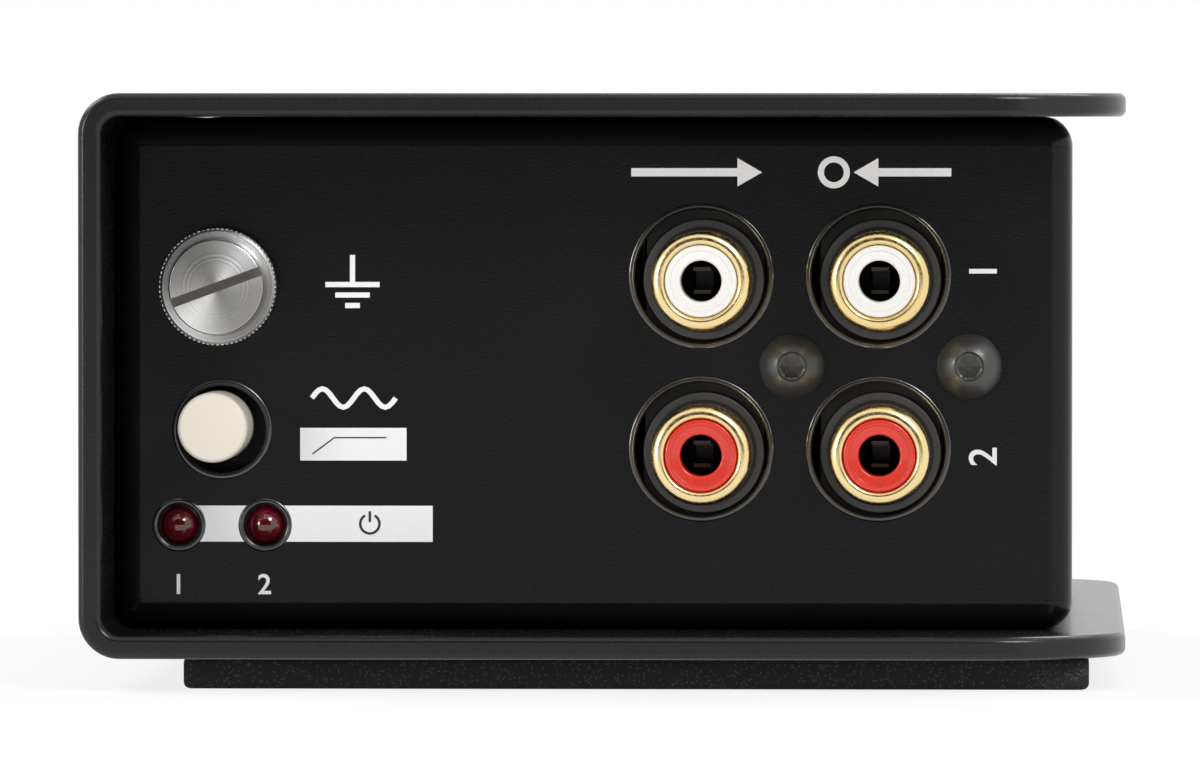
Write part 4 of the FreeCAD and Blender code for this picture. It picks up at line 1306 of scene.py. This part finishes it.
@dataclass
class GroundTerminal:
    """Slotted thumb screw with a knurled collar, and its washer."""

    stem: float = 2.0
    chamfer: float = 0.3
    collar_top: float = 3.3
    collar_bevel: Point2 = (0.18, 0.16)
    collar_foot_round: float = 0.1
    collar_round: float = 0.05
    groove: Point2 = (0.1, 0.12)
    groove_rounds: Point2 = (0.06, 0.03)
    boss: float = 3.83
    face_round: float = 0.16
    slot_width: float = 0.75
    slot_depth: float = 1.1
    slot_angle: float = 20.0
    cutter_margin: float = 1.0
    knurls: int = 76
    knurl_height: float = 0.07
    knurl_block: Point2 = (0.14, 0.2)
    knurl_margin: float = 0.35
    knurl_lift: float = 0.02
    washer_bore: float = 2.06
    washer_round: float = 0.08

    def build(self) -> None:
        """Turn the screw, cut its slot, set its knurls and turn the washer."""
        place = Facing.FRONT.place(GROUND_SCREW.middle(X), GROUND_SCREW.middle(Z))
        washer = NodeBox.of("ground_washer")
        seat = washer.proud()
        screw = turned(self.section(seat), place, "thumb_screw", NICKEL_PAINTED_HIGHLIGHT, 128)
        cut_away(screw, self.slot_cutter(place))
        register(screw, Body.THUMB_SCREW, Slot.BRIGHT_NICKEL, "ground_screw")
        register(self.knurl(seat).build(place), Body.THUMB_SCREW, Slot.BRIGHT_NICKEL)
        outer, bore = washer.half(X), self.washer_bore
        ring = rounded([(bore, 0, 0), (outer, 0, self.washer_round), (outer, seat, self.washer_round),
                        (bore, seat, 0)])
        piece = turned(ring, place, "terminal_washer", NICKEL_PAINTED_HIGHLIGHT)
        register(piece, Body.WASHER, Slot.BRIGHT_NICKEL, "ground_washer")

    def core(self) -> float:
        """Radius of the collar under its knurl."""
        return GROUND_SCREW.half(X) - self.knurl_height

    def section(self, seat: float) -> List[Point2]:
        """Half section of the screw, with a groove between its collar and its boss.

        Args:
            seat: height of the collar's underside.

        Returns:
            The points of the section.
        """
        tip, face = GROUND_SCREW.sunk(), GROUND_SCREW.proud()
        stem, chamfer = self.stem, self.chamfer
        core, top, boss = self.core(), self.collar_top, self.boss
        bevel_in, bevel_down = self.collar_bevel
        groove_width, groove_depth = self.groove
        wall, floor = boss + groove_width, top - groove_depth
        edge, (mouth, corner) = self.collar_round, self.groove_rounds
        shaft = [(0, -tip, 0), (stem - chamfer, -tip, 0), (stem, chamfer - tip, 0), (stem, seat, 0)]
        collar = [(core - chamfer, seat, self.collar_foot_round), (core, seat + chamfer, edge),
                  (core, top - bevel_down, edge), (core - bevel_in, top, edge)]
        groove = [(wall, top, mouth), (wall, floor, corner), (boss, floor, corner)]
        return rounded(shaft + collar + groove + [(boss, face, self.face_round), (0, face, 0)])

    def slot_cutter(self, place: Matrix) -> bpy.types.Object:
        """Make the bar that cuts the slot, in a darker, duller metal that the slot's faces take.

        Args:
            place: place of the screw.

        Returns:
            The bar.
        """
        half, reach = self.slot_width / 2, self.boss + self.cutter_margin
        face = GROUND_SCREW.proud()
        turn = Matrix.Rotation(math.radians(self.slot_angle), 4, "Z")
        outline = [(-reach, -half), (reach, -half), (reach, half), (-reach, half)]
        bar = prism(outline, place @ turn, face - self.slot_depth, face + self.cutter_margin)
        return finish_mesh(bar, "slot_cutter", SLOT_METAL)

    def knurl(self, seat: float) -> BlockRing:
        """Ring of the collar's knurls.

        Args:
            seat: height of the collar's underside.

        Returns:
            The ring.
        """
        middle = (seat + self.collar_top) / 2 + self.knurl_lift
        tall = self.collar_top - seat - self.knurl_margin
        return BlockRing("thumb_screw_knurls", BRIGHT_RIM, self.knurls, self.core(),
                         (*self.knurl_block, tall), middle)


@dataclass
class FilterKey:
    """Ivory push cap with a bore for its plunger."""

    bore: float = 1.4
    bore_end: float = 0.65
    back_round: float = 0.2
    face_round: float = 0.38

    def build(self) -> None:
        """Turn the cap with softly rounded edges."""
        cap = NodeBox.of("filter_button")
        place = Facing.FRONT.place(cap.middle(X), cap.middle(Z))
        radius, face, tail = cap.half(X), cap.proud(), cap.sunk()
        section = rounded([(0, self.bore_end, 0), (self.bore, self.bore_end, 0), (self.bore, -tail, 0),
                           (radius, -tail, self.back_round), (radius, face, self.face_round), (0, face, 0)])
        piece = turned(section, place, "filter_cap", IVORY)
        register(piece, Body.FILTER, Slot.IVORY_CAP, "filter_button")


@dataclass
class PowerLamps:
    """Two red lamps with domed lenses."""

    nodes: Tuple[str, str] = ("left_lamp", "right_lamp")
    reach: float = 0.7
    steps: int = 14
    sides: int = 64

    def build(self) -> None:
        """Turn both lamps."""
        for node in self.nodes:
            lamp = NodeBox.of(node)
            place = Facing.FRONT.place(lamp.middle(X), lamp.middle(Z))
            piece = turned(self.section(lamp), place, node + "_lens", LAMP_RED, self.sides)
            register(piece, Body.ROOT, Slot.LAMP_RED, node)

    def section(self, lamp: NodeBox) -> List[Point2]:
        """Half section of a lamp, a rod with a half ball on its end.

        Args:
            lamp: box of the lamp's CAD node.

        Returns:
            The points of the section.
        """
        radius, tail = lamp.half(X), lamp.sunk()
        points = [(0.0, -tail), (radius, -tail)]
        for step in range(self.steps):
            angle = math.radians(90 * step / self.steps)
            points.append((radius * math.cos(angle), self.reach - radius + radius * math.sin(angle)))
        points.append((0.0, self.reach))
        return points


@dataclass(frozen=True)
class Number:
    """A channel number printed on the panel.

    Attributes:
        name: name of the piece.
        digit: the digit.
        spot: X and Z of its middle.
        turn: degrees that it is turned by.
        size: size of the type in millimetres.
        bolder: how far its outline is moved outwards.
    """

    name: str
    digit: str
    spot: Point2
    turn: float
    size: float
    bolder: float = 0.03

    def letter(self, ink: float) -> bpy.types.Mesh:
        """Make the digit a flat mesh, lying about its own middle.

        Args:
            ink: thickness of the ink.

        Returns:
            The mesh, in millimetres.
        """
        letter = bpy.data.curves.new(self.name, "FONT")
        letter.body = self.digit
        letter.size = self.size
        letter.extrude = ink / 2
        letter.offset = self.bolder
        letter.align_x = "CENTER"
        letter.align_y = "CENTER"
        holder = link(bpy.data.objects.new(self.name, letter))
        graph = bpy.context.evaluated_depsgraph_get()
        mesh = bpy.data.meshes.new_from_object(holder.evaluated_get(graph))
        bpy.data.objects.remove(holder)
        return mesh

    def build(self, ink: float) -> None:
        """Print the digit in white.

        Args:
            ink: thickness of the ink.
        """
        mesh = self.letter(ink)
        spin = Matrix.Rotation(math.radians(self.turn), 4, "Z")
        lift = Matrix.Translation((0, 0, ink / 2))
        mesh.transform(Facing.FRONT.place(*self.spot) @ lift @ spin)
        mesh.materials.clear()
        mesh.materials.append(PAINTS.of(WHITE_INK))
        piece = link(bpy.data.objects.new(self.name, mesh))
        register(piece, Body.ROOT, Slot.WHITE_INSULATOR)


@dataclass
class PanelPrint:
    """White print on the front panel, with plain generic marks."""

    ink: float = 0.03
    stroke: float = 0.42
    arrow_level: float = 41.6
    out_arrow: Point2 = (2.0, 12.6)
    in_arrow: Point2 = (27.9, 20.0)
    arrow_head: Point2 = (2.0, 1.15)
    arrow_shaft: float = 0.672
    disc_x: float = 18.4
    disc_radius: float = 1.05
    disc_stroke: float = 0.5
    earth: Point2 = (-20.6, 32.6)
    earth_stem: float = 2.3
    earth_bars: Point3 = (2.2, 1.4, 0.6)
    earth_drop: float = 0.1
    earth_gap: float = 0.85
    wave: Point2 = (-20.5, 23.3)
    wave_size: Point2 = (6.8, 0.75)
    waves: int = 2
    wave_steps: int = 24
    box_low: Point2 = (-24.85, 18.23)
    box_high: Point2 = (-16.22, 20.88)
    curve: Sequence[Point2] = ((-23.87, 18.75), (-22.08, 20.09), (-17.85, 20.09))
    curve_stroke: float = 0.11
    band_levels: Point2 = (11.64, 14.57)
    band_end: float = -14.1
    lamp_rim: float = 2.15
    power: Point2 = (-19.2, 13.1)
    power_radius: float = 0.78
    power_stroke: float = 0.2
    power_stem: Point2 = (1.02, 0.15)
    power_arc: Point2 = (120.0, 420.0)
    arc_steps: int = 28
    numbers: Sequence[Number] = (
        Number("lamp_number_1", "1", (-34.75, 8.1), 0.0, 2.3),
        Number("lamp_number_2", "2", (-27.75, 8.1), 0.0, 2.3),
        Number("jack_number_1", "1", (30.6, 33.6), 90.0, 3.2),
        Number("jack_number_2", "2", (30.6, 18.6), 90.0, 3.2))

    def build(self) -> None:
        """Lay the white marks, the black ones over them, and the numbers."""
        white = bmesh.new()
        (x0, z0), (x1, z1) = self.box_low, self.box_high
        self.add_outline(white, [(x0, z0), (x1, z0), (x1, z1), (x0, z1)])
        self.add_band(white)
        self.add_arrow(white, self.out_arrow)
        self.add_arrow(white, self.in_arrow)
        self.add_arc(white, (self.disc_x, self.arrow_level), self.disc_radius, self.disc_stroke)
        self.add_earth(white)
        self.add_wave(white)
        piece = finish_mesh(white, "panel_print_white", WHITE_INK)
        register(piece, Body.ROOT, Slot.WHITE_INSULATOR)
        black = bmesh.new()
        self.add_path(black, self.curve, self.curve_stroke, self.ink)
        self.add_power(black)
        piece = finish_mesh(black, "panel_print_black", BLACK_INK)
        register(piece, Body.ROOT, Slot.BLACK_MOULDING)
        for number in self.numbers:
            number.build(self.ink)

    def add_outline(self, bm: bmesh.types.BMesh, outline: Sequence[Point2], base: float = 0.0) -> None:
        """Add a closed flat shape of ink, in panel millimetres along X and Z."""
        prism(outline, Facing.FRONT.place(0.0, 0.0), base, base + self.ink, bm)

    def add_band(self, bm: bmesh.types.BMesh) -> None:
        """Add the white band, which stops at the rims of the lamp holes.

        Args:
            bm: mesh data to add to.
        """
        low, high = self.band_levels
        left, right = [NodeBox.of(node).middle(X) for node in PowerLamps.nodes]
        self.add_outline(bm, self.rim_arc(left, 1.0) + self.rim_arc(right, -1.0)[::-1])
        self.add_outline(bm, self.rim_arc(right, 1.0) + [(self.band_end, high), (self.band_end, low)])

    def rim_arc(self, x: float, side: float, steps: int = 16) -> List[Point2]:
        """Points up one side of a lamp hole's rim, over the height of the band.

        Args:
            x: middle of the lamp.
            side: 1 for the side towards high X, -1 for the other.
            steps: straight steps in the arc.

        Returns:
            The points.
        """
        low, high = self.band_levels
        z = NodeBox.of(PowerLamps.nodes[0]).middle(Z)
        points = []
        for step in range(steps + 1):
            level = low + (high - low) * step / steps
            points.append((x + side * math.sqrt(self.lamp_rim ** 2 - (level - z) ** 2), level))
        return points

    def add_path(self, bm: bmesh.types.BMesh, points: Sequence[Point2], width: float,
                 base: float = 0.0) -> None:
        """Add a line of ink through points, with mitred corners.

        Args:
            bm: mesh data to add to.
            points: the points.
            width: width of the line.
            base: height that it lies at.
        """
        spots = [Vector(point) for point in points]
        left, right = [], []
        for index, spot in enumerate(spots):
            ahead = (spots[min(index + 1, len(spots) - 1)] - spot).normalized()
            back = (spot - spots[max(index - 1, 0)]).normalized()
            run = (ahead + back).normalized()
            side = Vector((-run.y, run.x)) * (width / 2)
            left.append(tuple(spot + side))
            right.append(tuple(spot - side))
        self.add_outline(bm, left + right[::-1], base)

    def add_arrow(self, bm: bmesh.types.BMesh, ends: Point2) -> None:
        """Add a plain arrow as one outline.

        Args:
            bm: mesh data to add to.
            ends: X of its tail and of its tip.
        """
        tail, tip = ends
        length, spread = self.arrow_head
        level, half = self.arrow_level, self.arrow_shaft / 2
        neck = tip - math.copysign(length, tip - tail)
        self.add_outline(bm, [(tail, level - half), (neck, level - half), (neck, level - spread),
                              (tip, level), (neck, level + spread), (neck, level + half),
                              (tail, level + half)])

    def add_arc(self, bm: bmesh.types.BMesh, centre: Point2, radius: float, width: float,
                start: float = 0.0, end: float = 360.0, base: float = 0.0) -> None:
        """Add a ring of ink, or part of one.

        Args:
            bm: mesh data to add to.
            centre: its centre.
            radius: radius of the middle of its line.
            width: width of its line.
            start: degrees at its start.
            end: degrees at its end.
            base: height that it lies at.
        """
        for step in range(self.arc_steps):
            outline = []
            for share, reach in ((step, -0.5), (step, 0.5), (step + 1, 0.5), (step + 1, -0.5)):
                angle = math.radians(start + (end - start) * share / self.arc_steps)
                away = radius + width * reach
                outline.append((centre[0] + away * math.cos(angle), centre[1] + away * math.sin(angle)))
            self.add_outline(bm, outline, base)

    def add_earth(self, bm: bmesh.types.BMesh) -> None:
        """Add the plain earth mark, a stem over three bars.

        Args:
            bm: mesh data to add to.
        """
        x, z = self.earth
        top = z - self.earth_drop
        self.add_path(bm, [(x, z + self.earth_stem), (x, top + self.stroke / 2)], self.stroke)
        for index, half in enumerate(self.earth_bars):
            level = top - index * self.earth_gap
            self.add_path(bm, [(x - half, level), (x + half, level)], self.stroke)

    def add_wave(self, bm: bmesh.types.BMesh) -> None:
        """Add a wave mark.

        Args:
            bm: mesh data to add to.
        """
        x, z = self.wave
        length, swing = self.wave_size
        points = []
        for step in range(self.wave_steps + 1):
            share = step / self.wave_steps
            angle = share * self.waves * 2 * math.pi
            points.append((x - length / 2 + length * share, z + swing * math.sin(angle)))
        self.add_path(bm, points, self.stroke)

    def add_power(self, bm: bmesh.types.BMesh) -> None:
        """Add the plain power mark on the white band, a stem in an open ring.

        Args:
            bm: mesh data to add to.
        """
        x, z = self.power
        top, bottom = self.power_stem
        start, end = self.power_arc
        self.add_arc(bm, self.power, self.power_radius, self.power_stroke, start, end, self.ink)
        self.add_path(bm, [(x, z + top), (x, z + bottom)], self.power_stroke, self.ink)


@dataclass
class HiddenEnd:
    """Level dial, mini jack and power inlet on the hidden end."""

    dial_edge: Rounding = Rounding(0.25, 3, 40.0)
    line_half: float = 0.36
    line_reach: Point2 = (6.4, 11.2)
    line_base: float = 11.5
    line_height: float = 0.35
    marks: int = 11
    mark_radius: float = 14.2
    mark_size: Point3 = (1.5, 0.35, 0.04)
    scale_arc: float = 300.0
    scale_start: float = -60.0
    socket_edge: Rounding = Rounding(0.15, 2, 50.0)

    def build(self) -> None:
        """Dress the dial, its scale and the sockets."""
        softened("level_knob", "level_dial", Body.LEVEL, Slot.KNOB_MOULDING, self.dial_edge)
        dial = NodeBox.of("level_knob")
        place = Facing.BACK.place(dial.middle(X), dial.middle(Z))
        self.add_line(place)
        self.add_scale(place)
        softened("mini_jack", "mini_socket", Body.ROOT, Slot.BLACK_MOULDING, self.socket_edge)
        softened("power_inlet", "power_socket", Body.ROOT, Slot.BLACK_MOULDING, self.socket_edge)

    def add_line(self, place: Matrix) -> None:
        """Add the white line on the dial.

        Args:
            place: place of the dial.
        """
        half, (start, end) = self.line_half, self.line_reach
        outline = [(-half, start), (half, start), (half, end), (-half, end)]
        line = prism(outline, place, self.line_base, self.line_base + self.line_height)
        piece = finish_mesh(line, "dial_line", WHITE_INK)
        register(piece, Body.LEVEL, Slot.WHITE_INSULATOR)

    def add_scale(self, place: Matrix) -> None:
        """Print the scale on the panel round the dial.

        Args:
            place: place of the dial.
        """
        scale = BlockRing("dial_scale", WHITE_INK, self.marks, self.mark_radius, self.mark_size,
                          self.mark_size[Z] / 2, self.scale_arc, self.scale_start)
        register(scale.build(place), Body.ROOT, Slot.WHITE_INSULATOR)


def dress_frame() -> None:
    """Give every CAD node the finish of its record slot."""
    for part in frame["record"]["subparts"]:
        paint = PAINTS.of(SLOT_FINISHES[Slot(part["material_slot"])])
        for slot in frame["nodes"][part["node"]].material_slots:
            slot.material = paint


# Studio

def seen_directly(graph: Graph) -> bpy.types.NodeSocket:
    """Mask of camera, glossy and transmission rays.

    Args:
        graph: graph that the mask goes into.

    Returns:
        The mask.
    """
    path = graph.add("ShaderNodeLightPath")
    both = graph.maths("MAXIMUM", path.outputs["Is Camera Ray"], path.outputs["Is Glossy Ray"])
    return graph.maths("MAXIMUM", both, path.outputs["Is Transmission Ray"])


def studio_sheet(name: str, half: float, place: Matrix, material: bpy.types.Material) -> bpy.types.Object:
    """Set up a flat square sheet of the studio.

    Args:
        name: name of the sheet.
        half: half of its side in metres.
        place: matrix from the sheet to the frame.
        material: its material.

    Returns:
        The sheet.
    """
    bm = bmesh.new()
    bmesh.ops.create_grid(bm, x_segments=1, y_segments=1, size=half)
    bm.transform(place)
    mesh = bpy.data.meshes.new(name)
    bm.to_mesh(mesh)
    bm.free()
    mesh.materials.append(material)
    sheet = link(bpy.data.objects.new(name, mesh))
    return sheet


def aimed(thing: bpy.types.Object, spot: Point3, aim: Point3) -> bpy.types.Object:
    """Put a lamp or camera in its place.

    Args:
        thing: the lamp or camera.
        spot: where it stands, in metres.
        aim: what it points at.

    Returns:
        The same object.
    """
    thing.location = spot
    thing.rotation_euler = (Vector(aim) - Vector(spot)).to_track_quat("-Z", "Y").to_euler()
    return thing


@dataclass(frozen=True)
class Softbox:
    """A square softbox.

    Attributes:
        name: name of the lamp.
        spot: where it hangs, in metres.
        aim: what it points at.
        size: side of the square in metres.
        power: watts.
    """

    name: str
    spot: Point3
    aim: Point3
    size: float
    power: float

    def hang(self) -> None:
        """Hang the softbox."""
        light = bpy.data.lights.new(self.name, "AREA")
        light.shape = "SQUARE"
        light.size = self.size
        light.energy = self.power
        aimed(link(bpy.data.objects.new(self.name, light)), self.spot, self.aim)


@dataclass
class Studio:
    """Floor, backdrop light, lamps and camera."""

    camera_place: Point3 = (0.0360, -1.0635, 0.0470)
    camera_aim: Point3 = (-0.0001, -0.0635, 0.0244)
    lens: float = 375.2
    sensor: float = 36.0
    world_light: float = 0.42
    floor_half: float = 6.0
    floor_grey: float = 0.86
    floor_roughness: float = 0.9
    floor_glow: Point2 = (0.82, 1.0)
    floor_fade: Point2 = (0.12, 0.6)
    flag_middle: Point3 = (0.0, -1.7, 0.62)
    flag_half: Point2 = (1.15, 0.62)
    softboxes: Sequence[Softbox] = (
        Softbox("key_softbox", (0.75, -1.1, 0.95), (0.0, -0.06, 0.03), 0.5, 11.0),
        Softbox("low_softbox", (-0.95, -1.0, 0.22), (0.0, -0.06, 0.02), 0.35, 4.5),
        Softbox("rim_softbox", (-0.7, 0.25, 0.8), (0.0, 0.0, 0.04), 0.5, 7.0),
        Softbox("top_softbox", (0.3, 0.5, 1.0), (0.0, 0.0, 0.04), 0.6, 6.0))

    def build(self) -> None:
        """Set the whole studio."""
        studio_sheet("studio_floor", self.floor_half, Matrix.Identity(4), self.floor_material())
        self.add_world()
        self.add_flag()
        for softbox in self.softboxes:
            softbox.hang()
        self.add_camera()

    def floor_material(self) -> bpy.types.Material:
        """Make the pale floor, which keeps the object's shadow and is whiter further away.

        Returns:
            The material.
        """
        material = bpy.data.materials.new("studio_floor")
        material.use_nodes = True
        graph = Graph(material.node_tree)
        shader = material.node_tree.nodes["Principled BSDF"]
        shader.inputs["Base Color"].default_value = (*[self.floor_grey] * 3, 1.0)
        shader.inputs["Roughness"].default_value = self.floor_roughness
        places = graph.add("ShaderNodeTexCoord")
        away = graph.vectors("LENGTH", places.outputs["Object"])
        share = graph.spread(away, *self.floor_glow, *self.floor_fade)
        mix = graph.add("ShaderNodeMixShader")
        graph.join(graph.maths("MULTIPLY", seen_directly(graph), share), mix.inputs[0])
        graph.join(shader.outputs[0], mix.inputs[1])
        graph.join(graph.add("ShaderNodeEmission").outputs[0], mix.inputs[2])
        graph.join(mix.outputs[0], material.node_tree.nodes["Material Output"].inputs["Surface"])
        return material

    def add_flag(self) -> None:
        """Stand a dark flag behind the camera, which only reflections show."""
        upright = Matrix.Rotation(math.radians(90), 4, "X")
        stretch = Matrix.Diagonal((*self.flag_half, 1.0, 1.0))
        place = Matrix.Translation(self.flag_middle) @ upright @ stretch
        flag = studio_sheet("studio_flag", 1.0, place, PAINTS.of(FLAG_CLOTH))
        flag.visible_camera = False
        flag.visible_diffuse = False
        flag.visible_shadow = False

    def add_world(self) -> None:
        """Make the background white where it is seen and softer where it lights."""
        world = bpy.data.worlds.new("studio_world")
        bpy.context.scene.world = world
        world.use_nodes = True
        graph = Graph(world.node_tree)
        back = world.node_tree.nodes["Background"]
        back.inputs["Color"].default_value = (1.0, 1.0, 1.0, 1.0)
        graph.join(graph.spread(seen_directly(graph), self.world_light, 1.0), back.inputs["Strength"])

    def add_camera(self) -> None:
        """Set the camera at the photograph's angle."""
        lens = bpy.data.cameras.new("camera")
        lens.lens = self.lens
        lens.sensor_width = self.sensor
        lens.clip_start = 0.01
        lens.clip_end = 50.0
        camera = link(bpy.data.objects.new("camera", lens))
        bpy.context.scene.camera = aimed(camera, self.camera_place, self.camera_aim)


def main() -> None:
    """Build the scene."""
    logging.basicConfig(level=logging.INFO, format="%(message)s")
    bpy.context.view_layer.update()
    dress_frame()
    parts = (Case(), PhonoJacks(), HoleRims(), JackScrews(), GroundTerminal(), FilterKey(), PowerLamps(),
             PanelPrint(), HiddenEnd())
    for part in parts:
        part.build()
    Studio().build()
    bpy.context.scene.view_settings.view_transform = "Standard"


if __name__ == "__main__":
    main()
